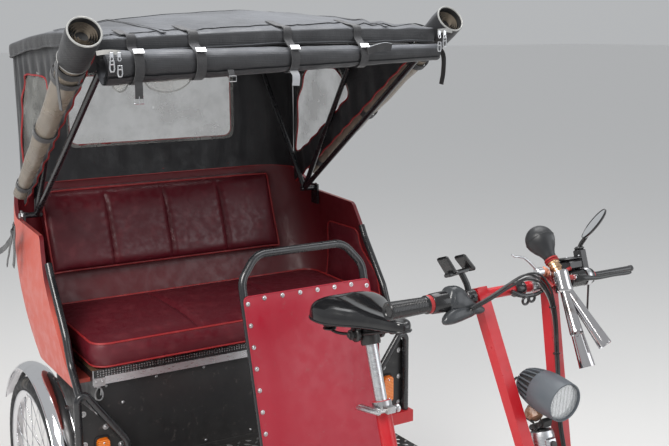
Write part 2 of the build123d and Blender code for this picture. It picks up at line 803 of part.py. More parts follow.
# columns: ahead of the datum, height
quarter_rear = back_end + 0.5
quarter_edge = [
    (quarter_rear, 1145),
    (-175, 1136),
    (585, 1632),
    (520, 1650),
    (-60, 1638),
    (quarter_rear, 1624),
]
quarter_window = [(-172, 1240), (-92, 1278), (200, 1472), (120, 1556), (-84, 1556), (-150, 1440)]
quarter_inside = hood_half - hood_sheet - fit_gap - side_sheet
with BuildPart() as hood_sides:
    with BuildSketch(facing_right(-quarter_inside)):
        outline([(ahead(x), z) for x, z in quarter_edge])
        outline([(ahead(x), z) for x, z in quarter_window], Mode.SUBTRACT)
    extrude(amount=side_sheet)
    mirror(about=Plane.XZ)
pieces["hood_sides"] = hood_sides

window_lap = 12
with BuildPart() as hood_windows:
    with BuildSketch(facing_right(-quarter_inside + fit_gap + window_sheet)):
        outline([(ahead(x), z) for x, z in quarter_window])
        offset(amount=window_lap)
    extrude(amount=window_sheet)
    mirror(about=Plane.XZ)
    with BuildSketch(facing_front(ahead(roof_rear) + back_inset + side_sheet + fit_gap)):
        with Locations((0, 1420)):
            RectangleRounded(back_window_width + 2 * window_lap, 230 + 2 * window_lap, 40)
    extrude(amount=window_sheet)
pieces["hood_windows"] = hood_windows

# Three bows turn on one bolt at each side
bow_y = quarter_inside - window_sheet - 2 * fit_gap - bow_radius
pivot_plate_y = 527.3
# columns: ahead of the datum, height of the bow's shoulders, rise in the middle, half width
bow_rows = [(604, 1648, 8, bow_y), (245, 1652, 36, bow_y), (-285, 1608, 28, hood_half - 94.5)]
with BuildPart() as hood_frame:
    for row_ahead, shoulder, rise, half in bow_rows:
        leg = [
            (ahead(pivot_ahead), bow_y, pivot_z),
            (ahead(row_ahead), half, shoulder - 40),
            (ahead(row_ahead), half - 42, shoulder + 2),
            (ahead(row_ahead), hood_half - 274.5, shoulder + rise * 0.8),
        ]
        far_leg = [(x, -y, z) for x, y, z in leg[::-1]]
        bent_rod(leg + far_leg, [40, 26, 200, 200, 26, 40], bow_radius)
    for side in (-1, 1):
        start = Vector(ahead(pivot_ahead), side * (bow_y - 14), pivot_z)
        plate = Vector(ahead(pivot_ahead), side * pivot_plate_y, pivot_z - 22)
        rod(start, start + Vector(0, side * (pivot_plate_y - bow_y + 14), 0), 9)
        with Locations(plate):
            Box(44, 6, 72)
pieces["hood_frame"] = hood_frame

# Rolled-up curtains: one across the front of the roof, one beside each opening
with BuildPart() as front_roll:
    taper((ahead(655), -hood_half, 1596.5), (ahead(655), hood_half, 1619.5), 46, 25)
pieces["front_roll"] = front_roll

roll_gap = hood_half + 0.5
# columns: side, height of the roll's upper end
roll_tops = [(-1, 1682), (1, 1714)]
with BuildPart() as side_rolls:
    for side, top_z in roll_tops:
        upper = (ahead(664), side * (roll_gap + 42), top_z)
        taper(upper, (ahead(-100), side * (roll_gap + 22), 1190), 42, 22)
pieces["side_rolls"] = side_rolls


# Steering: fork, stem, risers and handlebar
blade_y = 56
dropout_y = front_hub_half + running_gap
stem_low = head_high + 8
stem_high = -284
stem_radius = 18
bar_z = 19
with BuildPart() as fork:
    rod(on_steer(0, 0, crown_low + 10), on_steer(0, 0, stem_high - 4), steerer_radius)
    rod(on_steer(0, 0, crown_high - 2), on_steer(0, 0, head_low - 1), 19)
    square_bar(on_steer(0, 0, crown_low), on_steer(0, 0, crown_high), 2 * blade_y + 12, 34)
    for side in (-1, 1):
        top = on_steer(2, side * (blade_y - 4), crown_low + 4)
        knee = on_steer(14, side * blade_y, axle_on_steer.Z + 130)
        foot = on_steer(axle_on_steer.X, side * blade_y, axle_on_steer.Z)
        taper(top, knee, 13, 11)
        with Locations(knee):
            Sphere(11)
        taper(knee, foot, 11, 8)
        inner = front_axle + Vector(0, side * dropout_y, 0)
        rod(inner, front_axle + Vector(0, side * (blade_y + 4), 0), 13)
        rod(inner, front_axle + Vector(0, side * (blade_y + 12), 0), 8)
    rod(front_axle - Vector(0, blade_y + 24, 0), front_axle + Vector(0, blade_y + 24, 0),
        front_axle_radius)
pieces["fork"] = fork

with BuildPart() as stem:
    rod(on_steer(0, 0, stem_low), on_steer(0, 0, stem_high), stem_radius)
    square_bar(on_steer(0, 0, stem_high - 22), on_steer(0, 0, stem_high), 34, 78)
    rod(on_steer(0, 0, stem_low - 1), on_steer(0, 0, stem_high - 3), steerer_radius + 0.1, Mode.SUBTRACT)
pieces["stem"] = stem

bridge_low = stem_low + 10
bridge_high = stem_high - 22 - fit_gap
with BuildPart() as handlebar_riser:
    for side in (-1, 1):
        low = on_steer(0, side * riser_half_low, -riser_length)
        high = on_steer(0, side * riser_half_top, bar_z + bar_radius + 2 * riser_wall)
        square_bar(low, high, riser_size, riser_size)
    square_bar(on_steer(0, 0, bridge_low), on_steer(0, 0, bridge_high), 2 * riser_half_low + 26, 44)
    rod(on_steer(0, 0, bridge_low - 1), on_steer(0, 0, bridge_high + 1), stem_radius + 0.1, Mode.SUBTRACT)
    rod(on_steer(0, 200, bar_z), on_steer(0, -200, bar_z), bar_radius + 0.1, Mode.SUBTRACT)
pieces["handlebar_riser"] = handlebar_riser

left_rod_radius = 6
left_rod_end = 330
with BuildPart() as handlebar:
    rod(on_steer(0, -300, bar_z), on_steer(0, 212, bar_z), bar_radius)
    rod(on_steer(0, 205, bar_z), on_steer(0, left_rod_end, bar_z), left_rod_radius)
pieces["handlebar"] = handlebar


def bar_collar(low_y, high_y, radius, bore):
    """A sleeve round the handlebar, between two places along it."""
    rod(on_steer(0, low_y, bar_z), on_steer(0, high_y, bar_z), radius)
    rod(on_steer(0, low_y - 1, bar_z), on_steer(0, high_y + 1, bar_z), bore, Mode.SUBTRACT)


with BuildPart() as right_grip:
    taper(on_steer(0, -306, bar_z), on_steer(0, -213, bar_z), 17, 14.5)
    rod(on_steer(0, -221, bar_z), on_steer(0, -213, bar_z), 18)
    rod(on_steer(0, -301, bar_z), on_steer(0, -212, bar_z), bar_radius + 0.1, Mode.SUBTRACT)
pieces["right_grip"] = right_grip

with BuildPart() as shift_unit:
    rod(on_steer(0, -210, bar_z), on_steer(0, -166, bar_z), 19)
    square_bar(on_steer(4, -173, bar_z), on_steer(4, -127, bar_z), 46, 56, steer.x_dir)
    square_bar(on_steer(14, -190, bar_z - 28), on_steer(14, -110, bar_z - 28), 28, 24, steer.x_dir)
    square_bar(on_steer(20, -134, bar_z - 2), on_steer(26, -96, bar_z - 10), 10, 10)
    rod(on_steer(0, -230, bar_z), on_steer(0, -90, bar_z), bar_radius + 0.1, Mode.SUBTRACT)
pieces["shift_unit"] = shift_unit

with BuildPart() as phone_holder:
    for low_y, high_y in ((-168, -162), (-118, -112)):
        low = on_steer(2, low_y, bar_z + 66)
        square_bar(low, on_steer(2, high_y, bar_z + 66), 26, 38, steer.x_dir)
    square_bar(on_steer(2, -166, bar_z + 52), on_steer(2, -114, bar_z + 52), 22, 10, steer.x_dir)
    square_bar(on_steer(0, -119, bar_z), on_steer(0, -119, bar_z + 52), 12, 20)
    rod(on_steer(0, -106, bar_z), on_steer(0, -125, bar_z), 14)
    rod(on_steer(0, -90, bar_z), on_steer(0, -230, bar_z), bar_radius + 0.1, Mode.SUBTRACT)
pieces["phone_holder"] = phone_holder

with BuildPart() as gear_lever:
    bar_collar(34, 60, 16, bar_radius + 0.1)
    pivot = on_steer(27, 47, 50)
    rod(on_steer(14, 47, bar_z + 10), pivot, 7)
    rod(pivot + Vector(0, -8, 0), pivot + Vector(0, 8, 0), 9)
    knob = on_steer(37, -17, 84)
    rod(pivot, knob, 3.5)
    with Locations(knob):
        Sphere(7)
pieces["gear_lever"] = gear_lever

with BuildPart() as brake_reservoir:
    bar_collar(140, 186, 18, bar_radius + 0.1)
    square_bar(on_steer(-6, 163, bar_z + 12), on_steer(-8, 163, bar_z + 44), 34, 26)
    rod(on_steer(22, 150, bar_z), on_steer(34, 290, bar_z - 6), 4)
    rod(on_steer(20, 150, bar_z), on_steer(5, 150, bar_z), 6)
    rod(on_steer(0, 100, bar_z), on_steer(0, 300, bar_z), bar_radius + 0.1, Mode.SUBTRACT)
pieces["brake_reservoir"] = brake_reservoir

# Bulb horn with three trumpets
horn_y = 88
horn_root = on_steer(40, horn_y, bar_z)
bulb = on_steer(0, horn_y, bar_z + 88)
bulb_radius = 30
neck_radius = 9
neck_run = on_steer(30, horn_y, bar_z + 14) - bulb
bulb_plane = Plane(origin=bulb, x_dir=(0, 1, 0), z_dir=neck_run.cross(Vector(0, 1, 0)))
if bulb_plane.y_dir.dot(neck_run) < 0:
    bulb_plane = Plane(origin=bulb, x_dir=(0, 1, 0), z_dir=-bulb_plane.z_dir)
# columns: ahead of, beside and up the steering axis at the mouth, radius of the mouth
trumpets = [(66, 0, -153, 19), (80, -24, -84, 17), (100, 24, -116, 18)]
with BuildPart() as horn:
    with BuildSketch(bulb_plane):
        with BuildLine():
            shoulder = sqrt(bulb_radius**2 - neck_radius**2)
            ThreePointArc((0, -bulb_radius), (bulb_radius, 0), (neck_radius, shoulder))
            Polyline((neck_radius, shoulder), (neck_radius, neck_run.length),
                     (0, neck_run.length), (0, -bulb_radius))
        make_face()
    revolve(axis=Axis(bulb, neck_run))
    rod(on_steer(40, horn_y, bar_z + 26), on_steer(40, horn_y, bar_z - 16), 17)
    for forward, aside, up, mouth in trumpets:
        end = on_steer(forward, horn_y + aside, up)
        flare = horn_root + (end - horn_root) * 0.72
        taper(horn_root, flare, 5, 8)
        taper(flare, end, 8, mouth)
        taper(horn_root + (end - horn_root) * 0.9, end, 3, mouth - 2, Mode.SUBTRACT)
    square_bar(on_steer(riser_size / 2 + 2, horn_y, bar_z - 14), on_steer(42, horn_y, bar_z - 6), 14, 8)
pieces["horn"] = horn

mirror_centre = on_steer(49, 196, 122)
mirror_facing = Vector(-0.67, -0.49, 0.565)
with BuildPart() as mirror_head:
    bar_collar(188, 204, 17, bar_radius + 0.1)
    rod(on_steer(-4, 196, bar_z + 12), on_steer(-10, 196, bar_z + 66), 7)
    rod(on_steer(-10, 196, bar_z + 62), mirror_centre, 5)
    with Locations(Plane(origin=mirror_centre, z_dir=mirror_facing)):
        Cylinder(37.5, 14)
        with Locations((0, 0, 7)):
            Cylinder(34, 3, mode=Mode.SUBTRACT)
    rod(on_steer(0, 180, bar_z), on_steer(0, 220, bar_z), bar_radius + 0.1, Mode.SUBTRACT)
pieces["mirror"] = mirror_head

# Headlamp between the risers
lamp_back = Vector(ahead(1612), 0, 1001)
lamp_face = Vector(ahead(1733), 0, 988)
lamp_run = (lamp_face - lamp_back).normalized()
with BuildPart() as headlamp:
    taper(lamp_back, lamp_back + lamp_run * 78, 16, 38)
    rod(lamp_back + lamp_run * 78, lamp_face, 39)
    rod(lamp_face - lamp_run * 8, lamp_face + lamp_run, 36, Mode.SUBTRACT)
    square_bar(on_steer(42, 0, stem_high - 20), on_steer(42, 0, stem_high + 70), 24, 5)
pieces["headlamp"] = headlamp

with BuildPart() as lamp_lens:
    rod(lamp_face - lamp_run * (8 - fit_gap), lamp_face, 36 - fit_gap)
    fillet(lamp_lens.faces().sort_by(Axis.X)[-1].edges(), 5)
pieces["lamp_lens"] = lamp_lens

# Cables run from the right controls over the bar and down beside the left riser
with BuildPart() as cable_bundle:
    bent_rod(
        [
            on_steer(38, -140, bar_z - 20),
            on_steer(42, -60, bar_z + 22),
            on_steer(26, 24, bar_z + 34),
            on_steer(24, 66, -30),
            on_steer(24, 44, -180),
            on_steer(27.4, 26, -262),
            on_steer(27.4, 26, -345),
        ],
        [30, 30, 30, 60, 60],
        5,
    )
pieces["cable_bundle"] = cable_bundle

front_guard_inner = wheel_radius + 14
front_guard_half = 30
with BuildPart() as front_mudguard:
    with BuildSketch(wheel_plane(front_axle, -112)):
        guard_section(front_guard_half, front_guard_inner, 9, guard_sheet)
    revolve(axis=Axis(front_axle, (0, 1, 0)), revolution_arc=130)
    stay_y = blade_y + 15
    for side in (-1, 1):
        for angle in (-100, 8):
            lean = radians(angle)
            spread = Vector(sin(lean), 0, cos(lean))
            edge = front_axle + spread * (front_guard_inner + 1.5) + Vector(0, side * 28, 0)
            rod(edge, front_axle + spread * 8 + Vector(0, side * stay_y, 0), 2.2)
        eye = front_axle + Vector(0, side * (stay_y - 2.2), 0)
        rod(eye, front_axle + Vector(0, side * (stay_y + 2.2), 0), 10)
    rod(front_axle - Vector(0, 100, 0), front_axle + Vector(0, 100, 0),
        front_axle_radius + 0.1, Mode.SUBTRACT)
pieces["front_mudguard"] = front_mudguard

for name, piece in pieces.items():
    piece.part.label = name
    export_step(piece.part, f"parts/{name}.step")
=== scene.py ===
import json
from math import asin, atan2, cos, exp, hypot, pi, radians, sin, sqrt, tan

import bmesh
import bpy
from mathutils import Matrix, Vector, noise


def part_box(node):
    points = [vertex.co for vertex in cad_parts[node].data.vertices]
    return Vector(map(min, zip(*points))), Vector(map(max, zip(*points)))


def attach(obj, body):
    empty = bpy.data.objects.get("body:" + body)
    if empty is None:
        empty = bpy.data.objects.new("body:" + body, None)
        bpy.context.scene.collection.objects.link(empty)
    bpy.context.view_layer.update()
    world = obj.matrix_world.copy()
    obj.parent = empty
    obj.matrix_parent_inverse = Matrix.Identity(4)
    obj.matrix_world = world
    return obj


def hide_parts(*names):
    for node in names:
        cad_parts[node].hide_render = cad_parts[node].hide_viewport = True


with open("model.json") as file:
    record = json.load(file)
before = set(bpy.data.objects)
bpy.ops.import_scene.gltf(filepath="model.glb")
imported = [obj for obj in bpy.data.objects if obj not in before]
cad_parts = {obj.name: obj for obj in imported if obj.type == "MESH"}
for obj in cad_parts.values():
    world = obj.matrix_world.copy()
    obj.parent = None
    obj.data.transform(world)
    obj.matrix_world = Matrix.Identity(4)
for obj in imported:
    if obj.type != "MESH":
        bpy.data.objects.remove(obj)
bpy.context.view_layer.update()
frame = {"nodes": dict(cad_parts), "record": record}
nodes = frame["nodes"]

# Places along the vehicle are measured forward from the body's datum, in metres
tyre_low, tyre_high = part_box("rear_tyre_right")
rear_axle = Vector(((tyre_low.x + tyre_high.x) / 2, 0, (tyre_low.z + tyre_high.z) / 2))
wheel_radius = (tyre_high.z - tyre_low.z) / 2
track_half = -(tyre_low.y + tyre_high.y) / 2
front_low, front_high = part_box("front_tyre")
front_axle = (front_low + front_high) / 2
datum = rear_axle.x + 0.035


def ahead(distance):
    return datum + distance


def spot(x, y, z):
    """A point of the body: ahead of the datum, to the left, up."""
    return Vector((datum + x, y, z))


lean = radians(18.1)
risers_top = spot(1.59, 0, 1.16)
steer_x = Vector((cos(lean), 0, sin(lean)))
steer_z = Vector((-sin(lean), 0, cos(lean)))
X_AXIS, Y_AXIS, Z_AXIS = (Vector(axis) for axis in ((1, 0, 0), (0, 1, 0), (0, 0, 1)))


def on_steer(x, y, z):
    """A point ahead of, beside and up the steering axis from the risers' top, in millimetres."""
    return risers_top + steer_x * x / 1000 + Vector((0, y / 1000, 0)) + steer_z * z / 1000


def steer_line(*places):
    return [on_steer(*place) for place in places]


def mix(a, b, t):
    return a + (b - a) * t


def sign(value):
    return 1 if value > 0 else -1


def clamp(t, low=0.0, high=1.0):
    return max(low, min(high, t))


def wobble(x, y, z, seed=0):
    return noise.noise(Vector((x + 17.3 * seed, y - 5.1 * seed, z + 2.7 * seed)))


# Mesh builder
class Form:
    """The faces of one piece."""

    def __init__(self):
        self.verts = []
        self.faces = []

    def add(self, verts, faces):
        first = len(self.verts)
        self.verts += [Vector(v) for v in verts]
        self.faces += [tuple(first + i for i in face) for face in faces]
        return self

    def grid(self, rows, close_rows=False, close_columns=False, caps=False):
        """A surface through rows of points."""
        wide = len(rows[0])
        faces = []
        for i in range(len(rows) if close_rows else len(rows) - 1):
            for j in range(wide if close_columns else wide - 1):
                i2, j2 = (i + 1) % len(rows), (j + 1) % wide
                faces.append((i * wide + j, i * wide + j2, i2 * wide + j2, i2 * wide + j))
        if caps:
            faces.append(tuple(range(wide))[::-1])
            faces.append(tuple((len(rows) - 1) * wide + j for j in range(wide)))
        return self.add([p for row in rows for p in row], faces)

    def tube(self, line, radius, sides=10, closed=False):
        """A round bar along a line; the radius is a number or a function of the share along it."""
        steps = frames(line, closed)
        rows = []
        for i, (place, side, up) in enumerate(steps):
            r = radius(i / max(len(steps) - 1, 1)) if callable(radius) else radius
            rows.append(circle(place, side, up, r, sides))
        return self.grid(rows, closed, True, caps=not closed)

    def turned(self, profile, centre, direction, segments=32):
        """A form turned on an axis; the profile lists (along the axis, radius)."""
        x, y, z = basis(direction)
        return self.grid([circle(Vector(centre) + z * along, x, y, max(radius, 1e-5), segments)
                          for along, radius in profile], False, True)

    def ribbon(self, line, across, width, thick=0.0016):
        """A flat strap along a line; across is a vector, or a list of them."""
        rows = []
        for i, place in enumerate(line):
            a = line[max(i - 1, 0)]
            b = line[min(i + 1, len(line) - 1)]
            run = (b - a).normalized()
            side = Vector(across[i] if isinstance(across, list) else across)
            side = (side - run * side.dot(run)).normalized()
            up = run.cross(side)
            w, t = side * width / 2, up * thick / 2
            rows.append([place - w - t, place + w - t, place + w + t, place - w + t])
        return self.grid(rows, False, True, caps=True)

    def block(self, centre, size, turn=None, bevel=0.0):
        """A box with chamfered edges, turned by a matrix."""
        turn = turn or Matrix.Identity(3)
        hx, hy, hz = (s / 2 for s in size)
        b = min(bevel, hx * 0.9, hy * 0.9, hz * 0.9)
        if b <= 0:
            b = min(hx, hy, hz) * 0.12
        rows = []
        for dz, inset in ((-hz, b), (-hz + b, 0), (hz - b, 0), (hz, b)):
            ring = []
            for sx, sy in ((1, 1), (-1, 1), (-1, -1), (1, -1)):
                corner = [(hx - inset, hy - inset - b), (hx - inset - b, hy - inset)]
                if sx * sy < 0:
                    corner = corner[::-1]
                ring += [(sx * px, sy * py) for px, py in corner]
            rows.append([Vector(centre) + turn @ Vector((px, py, dz)) for px, py in ring])
        return self.grid(rows, False, True, caps=True)

    def bolt(self, place, direction, radius, height):
        """A hexagon head with a washer under it."""
        x, y, z = basis(direction)
        washer = radius * 1.7
        self.turned([(0, 0), (0, washer), (height * 0.22, washer), (height * 0.24, 0)], place, direction, 18)
        levels = ((height * 0.2, radius), (height * 0.85, radius), (height, radius * 0.86))
        rows = [circle(Vector(place) + z * along, x, y, r, 6) for along, r in levels]
        return self.grid(rows, False, True, caps=True)

    def dome(self, place, direction, radius):
        """A rivet's or screw's round head."""
        height = radius * 0.55
        profile = [(-0.0004, radius), (0, radius)]
        profile += [(height * sin(a * pi / 8), radius * cos(a * pi / 8)) for a in range(1, 5)]
        return self.turned(profile, place, direction, 14)


def basis(direction):
    z = Vector(direction).normalized()
    x = (Vector((0, 0, 1)) if abs(z.z) < 0.9 else Vector((1, 0, 0))).cross(z).normalized()
    return x, z.cross(x), z


def frames(line, closed=False):
    """Place and two crossing directions at each point of a line, without twist."""
    line = [Vector(p) for p in line]
    count = len(line)
    runs = []
    for i in range(count):
        a = line[i - 1] if closed or i else line[0]
        b = line[(i + 1) % count] if closed or i < count - 1 else line[-1]
        runs.append((b - a).normalized())
    side = basis(runs[0])[0]
    sides = []
    for run in runs:
        side = (side - run * side.dot(run)).normalized()
        sides.append(side)
    twist = 0.0
    if closed:
        last = (sides[-1] - runs[0] * sides[-1].dot(runs[0])).normalized()
        twist = atan2(runs[0].dot(sides[0].cross(last)), sides[0].dot(last))
    out = []
    for i in range(count):
        turn = Matrix.Rotation(-twist * i / count, 3, runs[i])
        side = turn @ sides[i]
        out.append((line[i], side, runs[i].cross(side)))
    return out


def curve(points, steps=8):
    """A smooth line through points."""
    points = [Vector(p) for p in points]
    before = points[0] - (points[1] - points[0])
    after = points[-1] + (points[-1] - points[-2])
    line = [before] + points + [after]
    out = []
    for a, b, c, d in zip(line, line[1:], line[2:], line[3:]):
        for k in range(steps):
            t = k / steps
            out.append(0.5 * (2 * b + (c - a) * t + (2 * a - 5 * b + 4 * c - d) * t * t
                              + (3 * b - a - 3 * c + d) * t * t * t))
    out.append(points[-1])
    return out


def circle(centre, x, y, radius, count):
    """Points round a centre, in the plane of two directions."""
    return [centre + (x * cos(a) + y * sin(a)) * radius for a in (2 * pi * k / count for k in range(count))]


def offsets(place, *steps):
    return [place + Vector(step) for step in steps]


def square_grid(point, across, along):
    """Rows of point(u, v) over the square from -1 to 1."""
    return [[point(-1 + 2 * i / across, -1 + 2 * j / along) for j in range(along + 1)]
            for i in range(across + 1)]


def square_edge(across, along):
    """The border of the square from -1 to 1, once round."""
    edge = [(-1, -1 + 2 * j / along) for j in range(along)]
    edge += [(-1 + 2 * i / across, 1) for i in range(across)]
    return edge + [(-u, -v) for u, v in edge]


def piece(name, body, look, form, crease=38, stands_for=()):
    """Makes the mesh of a form and lets it ride on a body."""
    data = bpy.data.meshes.new(name)
    data.from_pydata([tuple(v) for v in form.verts], [], form.faces)
    work = bmesh.new()
    work.from_mesh(data)
    bmesh.ops.remove_doubles(work, verts=work.verts, dist=4e-6)
    bmesh.ops.dissolve_degenerate(work, edges=work.edges, dist=1e-6)
    bmesh.ops.recalc_face_normals(work, faces=work.faces)
    work.to_mesh(data)
    work.free()
    data.shade_smooth()
    data.set_sharp_from_angle(angle=radians(crease))
    data.materials.append(looks[look])
    obj = bpy.data.objects.new(name, data)
    bpy.context.scene.collection.objects.link(obj)
    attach(obj, body)
    if stands_for:
        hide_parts(*stands_for)
    return obj


# Materials: every maker adds one to looks; colours are linear
looks = {}


class Tree:
    """A node tree that is filled by calls; a value is a number, a tuple or another node's output."""

    def __init__(self, owner):
        owner.use_nodes = True
        self.nodes, self.links = owner.node_tree.nodes, owner.node_tree.links

    def feed(self, socket, value):
        if isinstance(value, bpy.types.NodeSocket):
            self.links.new(value, socket)
        else:
            socket.default_value = value + (1,) if socket.type == "RGBA" else value

    def node(self, kind, output, inputs=(), **settings):
        made = self.nodes.new("ShaderNode" + kind)
        for key, value in settings.items():
            setattr(made, key, value)
        for key, value in dict(inputs).items():
            self.feed(made.inputs[key], value)
        return made.outputs[output]

    def blend(self, factor, first, second):
        """A mix of two colours."""
        return self.node("Mix", 2, {0: factor, 6: first, 7: second}, data_type="RGBA")

    def math_of(self, operation, first, second, clamped=False):
        return self.node("Math", 0, {0: first, 1: second}, operation=operation, use_clamp=clamped)


class Shade(Tree):
    """A new material whose textures follow the object."""

    def __init__(self, name):
        looks[name] = bpy.data.materials.new(name)
        super().__init__(looks[name])
        self.shader = self.nodes["Principled BSDF"]
        self.place = self.node("TexCoord", "Object")

    def set(self, inputs):
        for key, value in inputs.items():
            self.feed(self.shader.inputs[key], value)

    def ramp(self, value, low, high, to_low=0.0, to_high=1.0):
        limits = {"From Min": low, "From Max": high, "To Min": to_low, "To Max": to_high}
        return self.node("MapRange", "Result", {"Value": value, **limits}, interpolation_type="SMOOTHSTEP")

    def noise_of(self, scale, detail=4.0, stretch=None, rough=0.55):
        place = self.place
        if stretch:
            place = self.node("Mapping", "Vector", {"Vector": place, "Scale": stretch})
        settings = {"Scale": scale, "Detail": detail, "Roughness": rough}
        return self.node("TexNoise", "Fac", {"Vector": place, **settings})

    def wave(self, axis, **inputs):
        return self.node("TexWave", "Fac", {"Vector": self.place, **inputs}, bands_direction=axis)

    def product(self, first, second):
        return self.math_of("MULTIPLY", first, second)

    def uneven(self, scale, middle, down, up, detail=4.0, stretch=None, high=0.7):
        """A value that wanders between two shares of a middle value."""
        return self.ramp(self.noise_of(scale, detail, stretch), 0.3, high, middle * down, middle * up)

    def bump(self, height, strength, distance):
        normal = {"Height": height, "Strength": strength, "Distance": distance}
        self.set({"Normal": self.node("Bump", "Normal", normal)})


def scaled(colour, share, more=0.0):
    return tuple(c * share + more for c in colour)


def painted(name, colour, faded, rough=0.35, coat=0.3, chips=0.5, chip_colour=(0.25, 0.2, 0.18), scale=6.0,
            grain=0.15):
    """Paint, gel coat or plastic: blotches, chips along edges, dirt from below, fine orange peel."""
    shade = Shade(name)
    dirt = (0.18, 0.15, 0.12)
    base = shade.blend(shade.ramp(shade.noise_of(scale), 0.3, 0.75, 0.0, 0.6), colour, faded)
    edge = shade.ramp(shade.node("NewGeometry", "Pointiness"), 0.52, 0.58)
    rubbed = shade.ramp(shade.product(edge, shade.noise_of(55.0, 6.0)), 0.6, 0.74, 0.0, chips * 0.8)
    spots = shade.ramp(shade.noise_of(140.0, 5.0, rough=0.7), 0.72, 0.76, 0.0, chips)
    base = shade.blend(shade.math_of("MAXIMUM", rubbed, spots), base, chip_colour)
    low = shade.ramp(shade.node("SeparateXYZ", "Z", {0: shade.place}), 0.6, 0.1, 0.0, 0.3)
    base = shade.blend(shade.product(low, shade.noise_of(14.0, 6.0)), base, dirt)
    shade.set({"Base Color": base, "Roughness": shade.uneven(30.0, rough, 0.75, 1.35), "Coat Weight": coat,
               "Coat Roughness": 0.15})
    shade.bump(shade.noise_of(420.0, 3.0), grain, 0.0006)
    return shade


def metal(name, colour, rough, scratch=0.3, tarnish=(0.35, 0.3, 0.25), tarnish_amount=0.25,
          stretch=(1, 1, 1)):
    """Bare or plated metal with smudges, fine scratches and a little tarnish."""
    shade = Shade(name)
    cloudy = shade.ramp(shade.noise_of(22.0, 6.0), 0.52, 0.75, 0.0, tarnish_amount)
    shade.set({"Base Color": shade.blend(cloudy, colour, tarnish), "Metallic": 1.0,
               "Roughness": shade.uneven(60.0, rough, 0.8, 1.35, 5.0, stretch, 0.75)})
    shade.bump(shade.noise_of(700.0, 4.0, stretch), scratch, 0.0002)


def moulded(name, colour, lighter, rough=0.4, grain_scale=900.0, grain=0.25, coat=0.0):
    """Moulded plastic or rubber with a fine grain and a little dust."""
    shade = Shade(name)
    dust = shade.ramp(shade.noise_of(24.0, 7.0), 0.48, 0.72, 0.0, 0.7)
    shade.set({"Base Color": shade.blend(dust, colour, lighter), "Coat Weight": coat,
               "Roughness": shade.uneven(45.0, rough, 0.7, 1.3)})
    shade.bump(shade.noise_of(grain_scale, 2.0), grain, 0.0003)


def hood_cloth(name, colour, lit_dusty_top, weave=1400.0, rough=0.5, sheen=0.15, lit_dusty_amount=1.0):
    """Coated cloth: fine weave, creases; faces that point up are paler, a painted highlight with some dust.
    """
    shade = Shade(name)
    # Painted highlight with some dust: faces that point up are blended towards the paler colour
    facing = shade.node("SeparateXYZ", "Z", {0: shade.node("NewGeometry", "Normal")})
    upward = shade.ramp(facing, 0.25, 0.95, 0.0, lit_dusty_amount)
    pale = shade.product(upward, shade.ramp(shade.noise_of(5.0, 7.0), 0.3, 0.72, 0.45, 1.0))
    streak = shade.ramp(shade.noise_of(18.0, 8.0, (1, 1, 0.25)), 0.55, 0.8, 0.0, 0.35)
    base = shade.blend(streak, shade.blend(pale, colour, lit_dusty_top), scaled(colour, 1.9, 0.02))
    shade.set({"Base Color": base, "Roughness": shade.uneven(12.0, rough, 0.75, 1.25, 5.0),
               "Sheen Weight": sheen, "Specular IOR Level": 0.55})
    threads = [shade.wave(axis, Scale=weave / 20, Distortion=0.4) for axis in "XYZ"]
    woven = shade.product(shade.math_of("MAXIMUM", threads[0], threads[1]), threads[2])
    creases = shade.noise_of(26.0, 9.0, (1, 1, 0.6), 0.6)
    shade.bump(shade.math_of("ADD", shade.product(woven, 0.12), creases), 0.55, 0.0045)


def clear_sheet(name, tint, alpha, haze, rough=0.14):
    """Clear vinyl gone cloudy, with ripples."""
    shade = Shade(name)
    shade.set({"Alpha": shade.ramp(shade.noise_of(9.0, 7.0), 0.35, 0.7, alpha, haze),
               "Base Color": shade.blend(shade.noise_of(16.0, 6.0), tint, scaled(tint, 0.62)),
               "Roughness": shade.uneven(30.0, rough, 0.6, 1.8)})
    shade.bump(shade.noise_of(30.0, 5.0), 0.35, 0.003)


def two_faced(name, outside, outside_faded, shaded_inside, centre):
    """Moulded shell: sun-faded outside; faces that point towards its middle get a darker colour, a painted
    shade for its inside.
    """
    shade = painted(name, outside, outside_faded, rough=0.4, coat=0.1, chips=0.07,
                    chip_colour=(0.72, 0.62, 0.55), scale=3.5, grain=0.1)
    # Painted shade: faces towards the shell's middle take the darker inside colour
    away = shade.node("VectorMath", 0, {0: shade.place, 1: centre}, operation="SUBTRACT")
    flat = shade.node("VectorMath", 0, {0: away, 1: (0.5, 1, 0)}, operation="MULTIPLY")
    normal = shade.node("NewGeometry", "True Normal")
    inner = shade.ramp(shade.node("VectorMath", "Value", {0: flat, 1: normal}, operation="DOT_PRODUCT"),
                       0.02, -0.02)
    deep = shade.blend(shade.noise_of(7.0, 6.0), shaded_inside, scaled(shaded_inside, 0.6))
    outer = shade.shader.inputs["Base Color"].links[0].from_socket
    shade.set({"Base Color": shade.blend(inner, outer, deep)})


def ribbed_lens(name, colour, deep, rough=0.12):
    """Coloured lens moulded with fine ribs."""
    shade = Shade(name)
    ribs = shade.wave("Z", Scale=60)
    tone = shade.ramp(shade.product(ribs, shade.noise_of(40.0)), 0.1, 0.6)
    shade.set({"Base Color": shade.blend(tone, deep, colour), "Roughness": rough, "Coat Weight": 0.6,
               "Coat Roughness": 0.05})
    shade.bump(ribs, 0.5, 0.0015)


